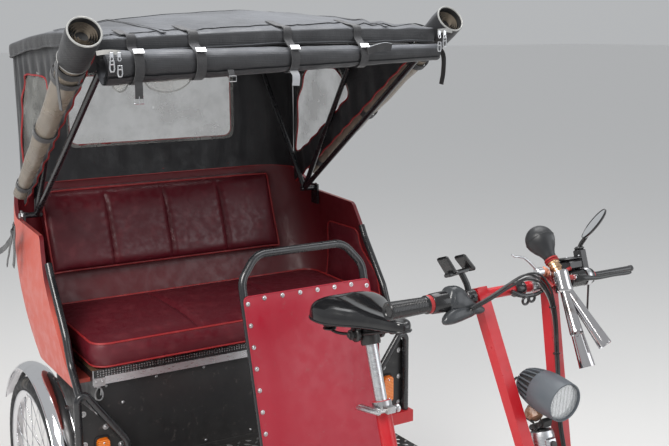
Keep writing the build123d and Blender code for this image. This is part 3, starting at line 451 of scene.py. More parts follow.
painted("black_tube", (0.012, 0.012, 0.014), (0.022, 0.022, 0.024), rough=0.24, coat=0.5, chips=0.5,
        chip_colour=(0.16, 0.14, 0.13))
painted("red_tube", (0.5, 0.009, 0.016), (0.46, 0.009, 0.016), rough=0.36, coat=0.1, chips=0.25,
        chip_colour=(0.12, 0.06, 0.05))
metal("chrome", (0.83, 0.83, 0.85), 0.07, 0.12, tarnish_amount=0.12)
metal("steel", (0.52, 0.52, 0.53), 0.3, 0.4, tarnish_amount=0.4)
metal("aluminium", (0.66, 0.67, 0.69), 0.32, 0.08, (0.5, 0.5, 0.5), 0.25, (1, 1, 6))
moulded("tyre", (0.028, 0.028, 0.03), (0.13, 0.12, 0.105), rough=0.75, grain_scale=500.0, grain=0.4)
# The shell's last colour is a painted shade for the faces towards its middle
two_faced("shell", (0.6, 0.1, 0.07), (0.66, 0.17, 0.13), (0.17, 0.012, 0.018), (ahead(0.25), 0, 1.0))
# Cloths: the second colour is painted light, with some dust, for faces that point up
hood_cloth("vinyl", (0.012, 0.0125, 0.015), (0.125, 0.132, 0.15))
hood_cloth("curtain", (0.23, 0.195, 0.155), (0.42, 0.39, 0.35), rough=0.26, sheen=0.0, lit_dusty_amount=0.6)
moulded("upholstery", (0.11, 0.009, 0.016), (0.165, 0.022, 0.03), rough=0.42, grain_scale=380.0, grain=0.5)
painted("black_paint", (0.014, 0.014, 0.015), (0.024, 0.023, 0.022), rough=0.42, coat=0.15, chips=0.45,
        chip_colour=(0.13, 0.11, 0.1))
painted("crimson", (0.34, 0.008, 0.024), (0.31, 0.009, 0.024), rough=0.42, coat=0.1, chips=0.25,
        chip_colour=(0.2, 0.12, 0.11))
ribbed_lens("orange_lens", (0.92, 0.3, 0.02), (0.68, 0.13, 0.01))
ribbed_lens("red_lens", (0.62, 0.02, 0.015), (0.3, 0.008, 0.008))
clear_sheet("clear", (0.6, 0.6, 0.56), 0.22, 0.5)
moulded("black_plastic", (0.012, 0.012, 0.013), (0.028, 0.028, 0.028), rough=0.24, grain=0.1, coat=0.25)
moulded("rubber", (0.02, 0.02, 0.022), (0.05, 0.048, 0.045), rough=0.6, grain=0.3)
painted("board", (0.16, 0.09, 0.05), (0.22, 0.13, 0.07), rough=0.6, coat=0.0, chips=0.2, scale=12.0)
# The webbings' second colour is painted light, with some dust, for faces that point up
hood_cloth("webbing", (0.016, 0.016, 0.018), (0.09, 0.09, 0.1), weave=5200.0, rough=0.7, sheen=0.3, lit_dusty_amount=0.5)
hood_cloth("pale_webbing", (0.34, 0.35, 0.37), (0.5, 0.51, 0.52), weave=5200.0, rough=0.7, lit_dusty_amount=0.5)
moulded("red_piping", (0.32, 0.018, 0.02), (0.4, 0.05, 0.05), rough=0.45, grain=0.2)
moulded("black_rubber", (0.016, 0.016, 0.017), (0.05, 0.05, 0.05), rough=0.5, grain=0.3)
moulded("red_rubber", (0.34, 0.02, 0.02), (0.4, 0.06, 0.05), rough=0.5, grain=0.3)
moulded("grey_rim", (0.3, 0.3, 0.29), (0.45, 0.44, 0.42), rough=0.4, grain=0.2)
metal("brass", (0.66, 0.44, 0.27), 0.26, 0.1, (0.35, 0.2, 0.12), 0.25)
metal("mirror_glass", (0.86, 0.88, 0.9), 0.02, 0.02, tarnish_amount=0.03)
metal("white_reflector", (0.86, 0.87, 0.88), 0.12, 0.05, tarnish_amount=0.05)
clear_sheet("lens_clear", (0.85, 0.87, 0.88), 0.22, 0.3, 0.05)
moulded("stitch_thread", (0.1, 0.1, 0.105), (0.16, 0.16, 0.16), rough=0.7)
metal("chequer", (0.5, 0.5, 0.5), 0.35, 0.4, tarnish_amount=0.5)
metal("chain_steel", (0.33, 0.32, 0.31), 0.35, 0.3, (0.16, 0.1, 0.06), 0.6)
metal("horn_chrome", (0.6, 0.59, 0.6), 0.1, 0.05, (0.2, 0.14, 0.11), 0.8, (1, 1, 0.2))
moulded("saddle_cover", (0.01, 0.01, 0.011), (0.02, 0.02, 0.02), rough=0.17, grain_scale=520.0, grain=0.22,
        coat=0.4)
moulded("shift_plastic", (0.034, 0.037, 0.041), (0.05, 0.053, 0.056), rough=0.34, grain=0.08, coat=0.15)
moulded("orange_bit", (0.62, 0.2, 0.1), (0.7, 0.35, 0.25), rough=0.4, grain=0.1)
moulded("bulb_rubber", (0.022, 0.023, 0.025), (0.05, 0.05, 0.052), rough=0.42, grain_scale=300, grain=0.12)
painted("lamp_grey", (0.085, 0.098, 0.112), (0.1, 0.112, 0.125), rough=0.42, coat=0.05, chips=0.1, scale=9.0)
painted("copper_tone", (0.5, 0.29, 0.19), (0.42, 0.22, 0.13), rough=0.38, coat=0.1, chips=0.3)

# Every CAD node takes its slot's material; nodes that are drawn in detail below are hidden there
slot_of = {s["node"]: s["material_slot"] for s in frame["record"]["subparts"]}
for name, obj in nodes.items():
    obj.data.materials.clear()
    obj.data.materials.append(looks[slot_of[name]])
    obj.data.shade_smooth()
    obj.data.set_sharp_from_angle(angle=radians(32))


# Hood cloth
hood_half = 0.5045
hood_corner = 0.13
roof_front = 0.64
roof_rear = -0.318
corner_start = -0.188
front_bow, middle_bow, rear_bow = 0.6, 0.245, -0.285
# columns: ahead of the datum, height of the roof's edge, rise of its crown, lean to the left
roof_rows = [(0.66, 1.677, 0.006, 0.012), (0.48, 1.689, 0.031, 0.012), (-0.06, 1.67, 0.052, 0.008),
             (-0.338, 1.628, 0.042, 0.004)]


def row_value(rows, x, column):
    """A smooth value through the rows' places."""
    total = 0.0
    for a in rows:
        share = 1.0
        for b in rows:
            if a is not b:
                share *= (x - b[0]) / (a[0] - b[0])
        total += share * a[column]
    return total


def roof_z(x, y):
    edge, rise, tilt = (row_value(roof_rows, x, k) for k in (1, 2, 3))
    share = y / 0.5245
    return edge + tilt * share + rise * (1 - share * share)


def roof_half(x):
    reach = clamp((x - roof_rear) / hood_corner)
    return hood_half - hood_corner + hood_corner * sqrt(max(0.0, 1 - (1 - reach) ** 2))


def bell(value, middle, width):
    t = (value - middle) / width
    return exp(-t * t)


strap_places = [-0.425, -0.26, 0.013, 0.235]


def roof_crease(x, y):
    if x > middle_bow:
        sag = -0.005 * sin(pi * clamp((x - middle_bow) / 0.359)) ** 2
    else:
        sag = -0.011 * sin(pi * clamp((x - rear_bow) / (middle_bow - rear_bow))) ** 2
    fine = 0.0045 * wobble(x * 4, y * 8, 0.3, 1) + 0.0022 * wobble(x * 13, y * 21, 0, 2)
    far = bell(x, 0.58, 0.16) * bell(y, 0.4, 0.13)
    fine += far * 0.0048 * sin(75 * (0.55 * x + y + 0.03 * wobble(x * 9, y * 9, 1)))
    near = bell(x, 0.5, 0.2) * bell(y, -0.44, 0.09)
    fine += near * 0.0035 * sin(90 * (0.4 * x - y))
    for place in strap_places:
        fine -= 0.004 * bell(y, place, 0.02) * bell(x, 0.6, 0.1)
        fine += 0.0022 * sin(150 * (y - place)) * bell(y, place, 0.07) * bell(x, 0.62, 0.09)
    return sag + fine


roof_places = [mix(roof_front, corner_start, k / 44) for k in range(44)]
roof_places += [roof_rear + hood_corner * (1 - sin(pi / 2 * k / 14)) for k in range(15)]
roof = Form()
top_rows = []
for x in roof_places:
    row = []
    for k in range(65):
        share = -1 + 2 * k / 64
        y = roof_half(x) * share
        edge = max(abs(share), clamp((x - 0.56) / 0.08)) ** 8
        row.append(spot(x, y, roof_z(x, y) + roof_crease(x, y) * (1 - 0.7 * edge) - 0.003 * edge))
    top_rows.append(row)
border = [row[0] for row in top_rows[:-1]] + top_rows[-1][:-1]
border += [row[-1] for row in top_rows[:0:-1]] + top_rows[0][:0:-1]
skirt = []
count = len(border)
for out, down in ((0, 0), (0.0028, 0.003), (0.0042, 0.01), (0.0048, 0.019), (0.0042, 0.029), (0.0022, 0.038)):
    ring = []
    for i, p in enumerate(border):
        run = border[(i + 1) % count] - border[i - 1]
        away = Vector((-run.y, run.x, 0)).normalized()
        if away.dot(p - spot(0.15, 0, p.z)) < 0:
            away = -away
        ripple = 0.0016 * sin(110 * (p.x + 1.7 * p.y)) * down / 0.038
        drop = down * (1 + 0.1 * wobble(p.x * 9, p.y * 9, 0, 5))
        ring.append(p + away * (out + ripple) + Vector((0, 0, -drop)))
    skirt.append(ring)
roof.grid(top_rows)
roof.grid(skirt, close_columns=True)
roof_obj = piece("hood_roof_cloth", "chassis", "vinyl", roof, 60, ["hood_roof"])

# Hem, seams and a stitched edge on the roof
hem = Form()
hem.tube([p + Vector((0, 0, 0.0005)) for p in skirt[-1]], 0.0032, 8, closed=True)
hem_obj = piece("hood_hem", "chassis", "vinyl", hem)
seams = Form()
for offset in (-0.1685, 0.1685):
    line = []
    for x in roof_places[:50]:
        y = offset * 2 * (roof_half(x) / hood_half)
        line.append(spot(x, y, roof_z(x, y) + roof_crease(x, y) + 0.0006))
    seams.ribbon(line, (0, 1, 0), 0.014, 0.0014)
for x in (front_bow, middle_bow, rear_bow):
    line = [spot(x, y, roof_z(x, y) + roof_crease(x, y) + 0.0006)
            for y in (mix(-roof_half(x) * 0.985, roof_half(x) * 0.985, k / 60) for k in range(61))]
    seams.ribbon(line, (1, 0, 0), 0.016, 0.0012)
seam_obj = piece("hood_seams", "chassis", "vinyl", seams)
threads = Form()
for offset in (-0.337, 0.337):
    for side in (-0.0045, 0.0045):
        for k in range(150):
            x = mix(roof_front - 0.01, -0.28, k / 150)
            y = (offset + side) * roof_half(x) / hood_half
            z = roof_z(x, y) + roof_crease(x, y) + 0.0022
            threads.tube([spot(x, y, z), spot(x - 0.0042, y, z)], 0.0005, 4)
thread_obj = piece("hood_stitches", "chassis", "stitch_thread", threads)


def ray_hit(centre, angle, loop):
    """Distance from a centre to a closed loop, in one direction."""
    dx, dy = cos(angle), sin(angle)
    best = 9.0
    for (ax, ay), (bx, by) in zip(loop, loop[1:] + loop[:1]):
        ex, ey = bx - ax, by - ay
        wx, wy = ax - centre[0], ay - centre[1]
        det = dx * ey - dy * ex
        if abs(det) < 1e-12:
            continue
        t = (wx * ey - wy * ex) / det
        u = (wx * dy - wy * dx) / det
        if t > 0 and -1e-9 <= u <= 1 + 1e-9:
            best = min(best, t)
    return best


def resampled(loop, step):
    out = []
    for (ax, ay), (bx, by) in zip(loop, loop[1:] + loop[:1]):
        parts = max(1, round(hypot(bx - ax, by - ay) / step))
        out += [(mix(ax, bx, k / parts), mix(ay, by, k / parts)) for k in range(parts)]
    return out


def rounded(loop, radius, steps=6):
    """A closed loop with its corners rounded."""
    out = []
    count = len(loop)
    for i in range(count):
        a, b, c = Vector(loop[i - 1]), Vector(loop[i]), Vector(loop[(i + 1) % count])
        r = min(radius, (a - b).length * 0.45, (c - b).length * 0.45)
        p, q = b + (a - b).normalized() * r, b + (c - b).normalized() * r
        for k in range(steps + 1):
            t = k / steps
            out.append(tuple(p * (1 - t) ** 2 + b * 2 * t * (1 - t) + q * t * t))
    return out


def holed_rows(outer, hole, centre, rings):
    """Rows of flat points from an outer loop in to a hole's loop."""
    rows = []
    inner = []
    for px, py in outer:
        angle = atan2(py - centre[1], px - centre[0])
        reach = ray_hit(centre, angle, hole)
        inner.append((centre[0] + cos(angle) * reach, centre[1] + sin(angle) * reach))
    for k in range(rings + 1):
        t = k / rings
        rows.append([(mix(p[0], q[0], t), mix(p[1], q[1], t)) for p, q in zip(outer, inner)])
    return rows, inner


# Back of the hood: one sheet round both rear corners, with a clear window
wall_inset = 0.0083
corner = hood_corner - wall_inset
straight = 2 * (hood_half - wall_inset - corner)
around = corner * pi + straight
back_foot = 1.188


def back_place(s, z, out=0.0):
    if s < corner * pi / 2:
        a = s / corner
        x, y = corner_start - corner * sin(a), -straight / 2 - corner * cos(a)
        nx, ny = -sin(a), -cos(a)
    elif s < corner * pi / 2 + straight:
        x, y = corner_start - corner, s - corner * pi / 2 - straight / 2
        nx, ny = -1.0, 0.0
    else:
        a = (around - s) / corner
        x, y = corner_start - corner * sin(a), straight / 2 + corner * cos(a)
        nx, ny = -sin(a), cos(a)
    return Vector((ahead(x) + nx * out, y + ny * out, z))


def back_fold(s, z):
    rim = clamp((z - back_foot) / 0.03) * clamp((1.63 - z) / 0.05 + 0.2)
    fold = 0.0022 * sin(2 * pi * s / 0.083 + 1.6 * wobble(s * 5, z * 2, 0, 3))
    return rim * (fold + 0.0022 * wobble(s * 7, z * 4, 0, 4)) - 0.001


back_loop = [(mix(0, around, k / 70), back_foot) for k in range(70)]
back_loop += [(around, mix(back_foot, 1.62, k / 24)) for k in range(24)]
for k in range(70):
    s = mix(around, 0, k / 70)
    p = back_place(s, 0)
    back_loop.append((s, roof_z(p.x - datum, p.y) - 0.01))
back_loop += [(0, mix(back_loop[-1][1], back_foot, k / 24)) for k in range(24)]
middle = around / 2
window = rounded([(middle - 0.3, 1.305), (middle + 0.3, 1.305), (middle + 0.3, 1.535), (middle - 0.3, 1.535)],
                 0.03)
rows, inner = holed_rows(back_loop, window, (middle, 1.42), 26)
back = Form()
back.grid([[back_place(s, z, back_fold(s, z)) for s, z in row] for row in rows], close_columns=True)
back_obj = piece("hood_back_cloth", "chassis", "vinyl", back, 60, ["hood_back"])
back_hem = Form()
back_hem.tube([back_place(s, z, back_fold(s, z)) for s, z in inner], 0.0026, 8, closed=True)
back_hem.ribbon([back_place(mix(0.004, around - 0.004, k / 90), 1.194, 0.0012) for k in range(91)], (0, 0, 1),
                0.018)
back_hem_obj = piece("hood_back_binding", "chassis", "red_piping", back_hem)
pane = Form()
pane_edge = rounded([(middle - 0.31, 1.295), (middle + 0.31, 1.295), (middle + 0.31, 1.545),
                     (middle - 0.31, 1.545)], 0.036)
pane_middle = [(middle - 0.004, 1.416), (middle + 0.004, 1.416), (middle + 0.004, 1.424),
               (middle - 0.004, 1.424)]
pane_rows, _ = holed_rows(resampled(pane_edge, 0.02), pane_middle, (middle, 1.42), 14)
pane.grid([[back_place(s, z, -0.0052 + 0.0022 * wobble(s * 9, z * 9, 2)) for s, z in row]
           for row in pane_rows], close_columns=True)
piece("hood_back_window", "chassis", "clear", pane, 60)

# Quarter panels with piped windows
quarter_edge = [(-0.1875, 1.145), (-0.175, 1.136), (0.585, 1.632), (0.52, 1.656), (-0.06, 1.65),
                (-0.1875, 1.636)]
quarter_window = rounded(
    [(-0.172, 1.24), (-0.092, 1.278), (0.2, 1.472), (0.12, 1.556), (-0.084, 1.556), (-0.15, 1.44)], 0.03)
quarter_y = 0.4955
middle_of = (0.0, 1.44)


def quarter_fold(x, z):
    depth = clamp((1.64 - z) / 0.06) * clamp((x + 0.19) / 0.03)
    return depth * (0.0028 * sin(2 * pi * (x + 0.25 * z) / 0.075 + 2 * wobble(x * 6, z * 3, 0, 6))
                    + 0.002 * wobble(x * 9, z * 6, 0, 7))


sides_form, binding, panes = Form(), Form(), Form()
rows, inner = holed_rows(resampled(quarter_edge, 0.012), quarter_window, middle_of, 16)
window_lap = [(x + 0.012 * sign(x), z + 0.01 * (1 if z > 1.44 else -1)) for x, z in quarter_window]
pane_rows, _ = holed_rows(resampled(window_lap, 0.015),
                          [(0.003, 1.443), (-0.003, 1.443), (-0.003, 1.437), (0.003, 1.437)], middle_of, 12)
for side in (-1, 1):
    sides_form.grid([[spot(x, side * (quarter_y + quarter_fold(x, z)), z) for x, z in row] for row in rows],
                    close_columns=True)
    binding.tube([spot(x, side * (quarter_y + quarter_fold(x, z)), z) for x, z in inner], 0.0028, 8,
                 closed=True)
    lower = [(x, z) for x, z in resampled(quarter_edge, 0.012)
             if z < 1.633 and x > -0.18 and abs(z - (1.136 + (x + 0.175) * 0.6526)) < 0.004]
    binding.tube([spot(x, side * (quarter_y + quarter_fold(x, z)), z) for x, z in lower], 0.0026, 8)
    panes.grid([[spot(x, side * (0.4925 + 0.0016 * wobble(x * 11, z * 11, side)), z) for x, z in row]
                for row in pane_rows], close_columns=True)
sides_obj = piece("hood_side_cloth", "chassis", "vinyl", sides_form, 60, ["hood_sides"])
binding_obj = piece("hood_window_piping", "chassis", "red_piping", binding)
piece("hood_side_windows", "chassis", "clear", panes, 60, ["hood_windows"])


def rolled(form, start, end, radius_at, turns, pitch, opening, stations, per_turn, crush):
    """A sheet rolled up tightly: the spiral's outer edge lies at the opening angle."""
    start, end = Vector(start), Vector(end)
    x, y, z = basis(end - start)
    rows = []
    for i in range(stations + 1):
        u = i / stations
        place = start.lerp(end, u)
        r0 = radius_at(u)
        row = []
        for j in range(round(turns * per_turn) + 1):
            turn = j / per_turn
            angle = opening + 2 * pi * turn
            r = r0 - pitch * turn * min(1.0, r0 / radius_at(0))
            r *= 1 + crush(u, cos(angle), sin(angle)) * max(0.3, 1 - turn / turns)
            row.append(place + (x * cos(angle) + y * sin(angle)) * max(r, 0.002))
        rows.append(row)
    form.grid(rows)
    return sum((rows[0][j + 1] - rows[0][j]).length for j in range(len(rows[0]) - 1))


# Front roll: the front curtain rolled up and held with webbing
def front_radius(u):
    y = mix(-hood_half, hood_half, u)
    r = mix(0.0455, 0.0248, u)
    for place in strap_places:
        r *= 1 - 0.1 * bell(y, place, 0.022) + 0.02 * bell(y, place, 0.07)
    return r


front_start = spot(0.655, -hood_half, 1.5965)
front_end = spot(0.655, hood_half, 1.6195)
front_roll = Form()
wide = rolled(front_roll, front_start, front_end, front_radius, 4.6, 0.0052, radians(215), 110, 46,
              lambda u, c, s: 0.035 * wobble(u * 26, c * 1.3, s * 1.3, 8)
              + 0.03 * wobble(u * 8, c * 2.4, s * 2.4, 9) - 0.02 * max(0, -s))
front_roll_obj = piece("front_roll_cloth", "chassis", "vinyl", front_roll, 60, ["front_roll"])


def along_roll(y):
    """The front roll's middle at a place across the vehicle."""
    return front_start.lerp(front_end, (y + hood_half) / (2 * hood_half))


def strap_line(y):
    """A strap from the roof's front edge down over the roll and back up behind it."""
    centre = along_roll(y)
    r = front_radius((y + hood_half) / (2 * hood_half)) + 0.0045
    line = [spot(x, y, roof_z(x, y) + roof_crease(x, y) + 0.0035) for x in (0.54, 0.6)]
    line += [spot(x, y, roof_z(min(x, 0.64), y) + rise)
             for x, rise in ((0.636, 0.003), (0.6475, -0.008), (0.649, -0.03))]
    for k in range(1, 13):
        a = radians(mix(62, -175, k / 12))
        line.append(Vector((centre.x + r * cos(a), y, centre.z + r * sin(a))))
    return curve(line, 4), centre, r


straps, tails, buckles = Form(), Form(), Form()
for number, place in enumerate(strap_places):
    line, centre, r = strap_line(place)
    straps.ribbon(line, (0, 1, 0), 0.024 if number != 1 else 0.026, 0.0022)
    tri = centre + Vector((r * 0.75, 0, r * 0.72))
    buckles.block(tri + Vector((0.004, 0, 0.004)), (0.004, 0.03, 0.016),
                  Matrix.Rotation(radians(-44), 3, "Y"), 0.0015)
first = along_roll(strap_places[0])
line = curve(offsets(first, (0.028, 0, -0.032), (0.036, -0.002, -0.052), (0.034, -0.002, -0.078)), 6)
straps.ribbon(line, (0, 1, 0), 0.02, 0.002)
buckles.tube([line[-1] + Vector((0, dy, dz)) for dy, dz in (
    (-0.012, 0.006), (0.012, 0.006), (0.012, -0.012), (-0.012, -0.012))], 0.0016, 8, closed=True)
buckles.tube([line[-1] + Vector((0.001, 0, 0.006)), line[-1] + Vector((0.002, 0, -0.013))], 0.0013, 6)
third = along_roll(strap_places[2])
tails.ribbon(curve(offsets(third, (0.02, 0, -0.03), (0.031, 0.003, -0.045), (0.029, 0.002, -0.07)), 6),
             (0, 1, 0.1), 0.022, 0.002)
fourth = along_roll(strap_places[3])
loose = curve(offsets(fourth, (0.036, 0.006, 0.012), (0.043, 0.03, 0.02), (0.04, 0.06, 0.024),
                      (0.037, 0.084, 0.021)), 6)
straps.ribbon(loose, [Vector((0.2 * k / 18, 0, 1)) for k in range(len(loose))], 0.021, 0.002)
tails.tube([p + Vector((0.001, 0, 0.0105)) for p in loose], 0.0013, 6)
buckles.tube([spot(0.705, -0.181 + a, 1.563 + b) for a, b in (
    (-0.01, 0.007), (0.01, 0.007), (0.01, -0.007), (-0.01, -0.007))], 0.0014, 8, closed=True)
straps.ribbon(curve([spot(0.694, -0.181, 1.585), spot(0.702, -0.181, 1.572), spot(0.704, -0.181, 1.566)], 4),
              (0, 1, 0), 0.016, 0.0018)
strap_obj = piece("front_roll_straps", "chassis", "webbing", straps)
tail_obj = piece("strap_ends", "chassis", "pale_webbing", tails)
buckle_obj = piece("strap_buckles", "chassis", "chrome", buckles)

# Clear flaps that hang below the roll, with a pale edge
flaps, flap_rims = Form(), Form()
for low, high, drop in ((-0.482, -0.44, 0.02), (-0.4, -0.27, 0.03)):
    rows = []
    for k in range(13):
        t = k / 12
        y = mix(low, high, t)
        centre = along_roll(y)
        r = front_radius((y + hood_half) / (2 * hood_half))
        hang = drop * (sin(pi * t) ** 0.6)
        rows.append([Vector((centre.x + 0.02 - 0.02 * s, y, centre.z - r * 0.9 - hang * s + 0.006 * (1 - s)))
                     for s in (0, 0.25, 0.5, 0.75, 1)])
    flaps.grid(rows)
    flap_rims.tube([row[-1] for row in rows], 0.0019, 8)
piece("curtain_flaps", "chassis", "clear", flaps, 60)
piece("curtain_flap_rims", "chassis", "grey_rim", flap_rims)

# Side rolls: clear side curtains rolled up in a black sleeve, held with webbing
roll_lines = []
for side, top_z in ((-1, 1.682), (1, 1.714)):
    roll_lines.append((side, spot(0.664, side * 0.547, top_z), spot(-0.1, side * 0.527, 1.19)))
side_roll, sleeves, rims, loops, zips, zip_tape, sleeve_in = (Form() for _ in range(7))
mouth_radius, sleeve_end = 0.0412, 0.1352
for side, start, end in roll_lines:
    x, y, z = basis(end - start)
    begin = start.lerp(end, 0.016)

    def side_radius(u):
        r = mix(0.0405, 0.0222, u)
        for place, much in ((0.17, 0.1), (0.55, 0.08), (0.93, 0.18)):
            r *= 1 - much * bell(u, place, 0.02) + 0.03 * bell(u, place + 0.07, 0.05)
        return r

    def crush(u, c, s):
        twist = sin(9 * u * 3 + 2.2 * atan2(s, c) + side)
        return (0.05 * wobble(u * 9, c * 1.1, s * 1.1, 11 + side) + 0.035 * twist * clamp(u * 5)
                + 0.03 * wobble(u * 30, c * 2, s * 2, 13 + side))

    side_wide = rolled(side_roll, begin, end, side_radius, 4.3, 0.0062, radians(120 * side), 90, 44, crush)

    def sleeve_ring(u, r, ripple=1.0):
        place = start.lerp(end, u)
        ring = []
        for k in range(40):
            a = 2 * pi * k / 40
            uneven = ripple * 0.0016 * wobble(u * 40, cos(a) * 2, sin(a) * 2, side)
            ring.append(place + (x * cos(a) + y * sin(a)) * (r + uneven))
        return ring

    sleeves.grid([sleeve_ring(u, r) for u, r in ((0.0, 0.0415), (0.01, 0.0436), (0.04, 0.044), (0.08, 0.043),
                                                 (0.115, 0.042), (0.135, 0.0415), (sleeve_end, 0.0395))],
                 close_columns=True)
    sleeve_in.grid([sleeve_ring(u, r, 0) for u, r in (
        (0.001, mouth_radius), (0.012, 0.0385), (0.03, 0.0375), (0.034, 0.001))], close_columns=True)
    rims.tube(circle(start, x, y, mouth_radius, 48), 0.0027, 8, closed=True)
    rims.tube(sleeve_ring(sleeve_end, mouth_radius), 0.0016, 8, closed=True)
    for share, wide_by in ((0.17, 0.024), (0.215, 0.02), (0.55, 0.022), (0.93, 0.022)):
        place = start.lerp(end, share)
        r = side_radius(share) * 1.04 + 0.003
        ring = [place + (x * cos(a) + y * sin(a)) * r for a in (2 * pi * k / 36 for k in range(38))]
        loops.ribbon(ring, z, wide_by, 0.0022)
    knot = start.lerp(end, 0.17) + Vector((0.02, side * 0.043, 0.012))
    loops.ribbon(curve(offsets(knot, (0, -side * 0.004, 0.0), (0.02, side * 0.006, -0.03),
                               (0.024, side * 0.004, -0.08), (0.02, 0, -0.118)), 6), (1, 0, 0.2), 0.02, 0.002)
    # the zip's end beside the sleeve, with two pulls
    tape_z = 1.632 if side < 0 else 1.678
    zip_tape.ribbon(curve([spot(0.694, side * 0.531, tape_z), spot(0.699, side * 0.505, tape_z + 0.003),
                           spot(0.701, side * 0.474, tape_z + 0.001)], 6), (0, 0, 1), 0.011, 0.0018)
    for aside, low in ((0.497, 0.031), (0.478, 0.043)):
        top = spot(0.702, side * aside, tape_z - 0.004)
        zips.block(top, (0.006, 0.011, 0.014), None, 0.002)
        ring = spot(0.704, side * aside, tape_z - 0.014)
        zips.tube(circle(ring, Y_AXIS * 0.004, Z_AXIS * 0.005, 1, 14), 0.0012, 6, closed=True)
        low_end = spot(0.704, side * aside, tape_z - low)
        plate = [(-0.0046, 0.013), (0.0046, 0.013), (0.0058, -0.006), (0.0035, -0.013), (-0.0035, -0.013),
                 (-0.0058, -0.006)]
        zips.tube([low_end + Vector((0, a, b)) for a, b in plate], 0.0019, 8, closed=True)
        zips.tube(offsets(low_end, (0, -0.0045, 0.004), (0, 0.0045, 0.004)), 0.0017, 6)
side_roll_obj = piece("side_roll_sheets", "chassis", "curtain", side_roll, 60, ["side_rolls"])
sleeve_obj = piece("roll_sleeves", "chassis", "vinyl", sleeves, 60)
inside_obj = piece("roll_sleeve_linings", "chassis", "black_rubber", sleeve_in, 60)
rim_obj = piece("roll_rims", "chassis", "grey_rim", rims)
loop_obj = piece("roll_straps", "chassis", "webbing", loops)
piece("zip_pulls", "chassis", "aluminium", zips)
piece("zip_tapes", "chassis", "grey_rim", zip_tape)


# Cushions
def box_cushion(form, piping, low, high, crown, corner, seams_at):
    middle = (low + high) / 2
    hx, hy = (high.x - low.x) / 2, (high.y - low.y) / 2

    def plan(u, v, out=0.0):
        x, y = u * hx, v * hy
        dx, dy = abs(x) - (hx - corner), abs(y) - (hy - corner)
        if dx > 0 and dy > 0:
            k = max(dx, dy) / hypot(dx, dy)
            x = (hx - corner + dx * k) * sign(x)
            y = (hy - corner + dy * k) * sign(y)
        x *= 1 - 0.018 * (1 - v * v) * abs(u) ** 3 + out / hx
        y *= 1 - 0.01 * (1 - u * u) * abs(v) ** 3 + out / hy
        return middle.x + x, y

    def top(u, v):
        x, y = plan(u, v)
        z = high.z - 0.017 + crown * (1 - abs(u) ** 3.2) * (1 - abs(v) ** 5)
        for place in seams_at:
            z -= 0.011 * bell(v, place, 0.016) * (1 - abs(u) ** 8)
            z += 0.0016 * sin(x * 190) * bell(v, place, 0.05) * (1 - abs(u) ** 8)
        z += 0.0022 * wobble(x * 8, y * 8, 0, 21) * (1 - abs(u) ** 6)
        return Vector((x, y, z))

    across, along = 36, 96
    form.grid(square_grid(top, across, along))
    edge = square_edge(across, along)
    levels = []
    base = low.z + 0.01
    for t in (0, 0.06, 0.2, 0.4, 0.6, 0.8, 0.94, 1):
        ring = []
        for u, v in edge:
            x, y = plan(u, v,
                        0.0065 * sin(pi * t) ** 0.8 + 0.0012 * wobble(u * 9, v * 14, t, 22) * sin(pi * t))
            ring.append(Vector((x, y, mix(top(u, v).z, base, t))))
        levels.append(ring)
    form.grid(levels, close_columns=True)

    def under(u, v):
        return Vector((*plan(u, v), base - 0.0095 * min(1, 12 * (1 - max(abs(u), abs(v))))))

    form.grid(square_grid(under, across, along))
    piping.tube([p + Vector((0, 0, 0.0008)) for p in levels[0]], 0.0034, 8, closed=True)
    piping.tube(levels[-1], 0.0032, 8, closed=True)


seat_form, seat_piping = Form(), Form()
low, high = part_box("seat_cushion")
box_cushion(seat_form, seat_piping, low, high, 0.021, 0.05, (-0.333, 0.333))
seat_obj = piece("seat_cushion_cover", "bench_lid", "upholstery", seat_form, 60, ["seat_cushion"])
piece("seat_cushion_piping", "bench_lid", "red_piping", seat_piping)

# columns: height, half width, rear face ahead of the datum, corner radius
shell_levels = [(0.705, 0.54, -0.15, 0.24), (0.845, 0.556, -0.212, 0.22), (1.185, 0.53, -0.345, 0.205)]


def tub_x(y, z, inset):
    half, rear, bend = (row_value(shell_levels, z, k) for k in (1, 2, 3))
    half, rear, bend = half - inset, rear + inset, bend - inset
    over = abs(y) - (half - bend)
    return rear + (bend - sqrt(max(0.0, bend * bend - over * over)) if over > 0 else 0.0)


def tub_y(x, z, inset):
    half, rear, bend = (row_value(shell_levels, z, k) for k in (1, 2, 3))
    half, rear, bend = half - inset, rear + inset, bend - inset
    over = bend - (x - rear)
    return half - bend + sqrt(max(0.0, bend * bend - over * over)) if over > 0 else half


pad_low, pad_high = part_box("back_cushion")
back_form, back_piping = Form(), Form()


def back_pad(u, v, share):
    y = u * pad_high.y
    z = mix(pad_low.z + 0.003, pad_high.z - 0.003, (v + 1) / 2)
    puff = (1 - abs(u) ** 9) * (1 - abs(v) ** 5)
    depth = 0.034 + 0.044 * puff ** 0.5
    for place in (-0.5, 0.0, 0.5):
        depth -= 0.013 * bell(u, place, 0.016) * (1 - abs(v) ** 7)
        depth += 0.0014 * sin(z * 210) * bell(u, place, 0.05)
    depth += 0.0022 * wobble(y * 9, z * 9, 1, 23) * puff
    return spot(tub_x(y, z, 0.0125) + depth * share + 0.0006, y, z)


grid_u, grid_v = 84, 30
for share in (1, 0):
    back_form.grid(square_grid(lambda u, v: back_pad(u, v, share), grid_u, grid_v))
edge = square_edge(grid_u, grid_v)
rings = []
for t in (0, 0.15, 0.5, 0.85, 1):
    rings.append([back_pad(u, v, 1 - t) + Vector((0, u * abs(u) ** 20 * 0.004,
                                                  v * abs(v) ** 20 * 0.004)) * sin(pi * t) for u, v in edge])
back_form.grid(rings, close_columns=True)
back_piping.tube([back_pad(u * 0.998, v * 0.995, 1.03) for u, v in edge], 0.0034, 8, closed=True)
back_cover = piece("back_cushion_cover", "chassis", "upholstery", back_form, 60, ["back_cushion"])
piece("back_cushion_piping", "chassis", "red_piping", back_piping)

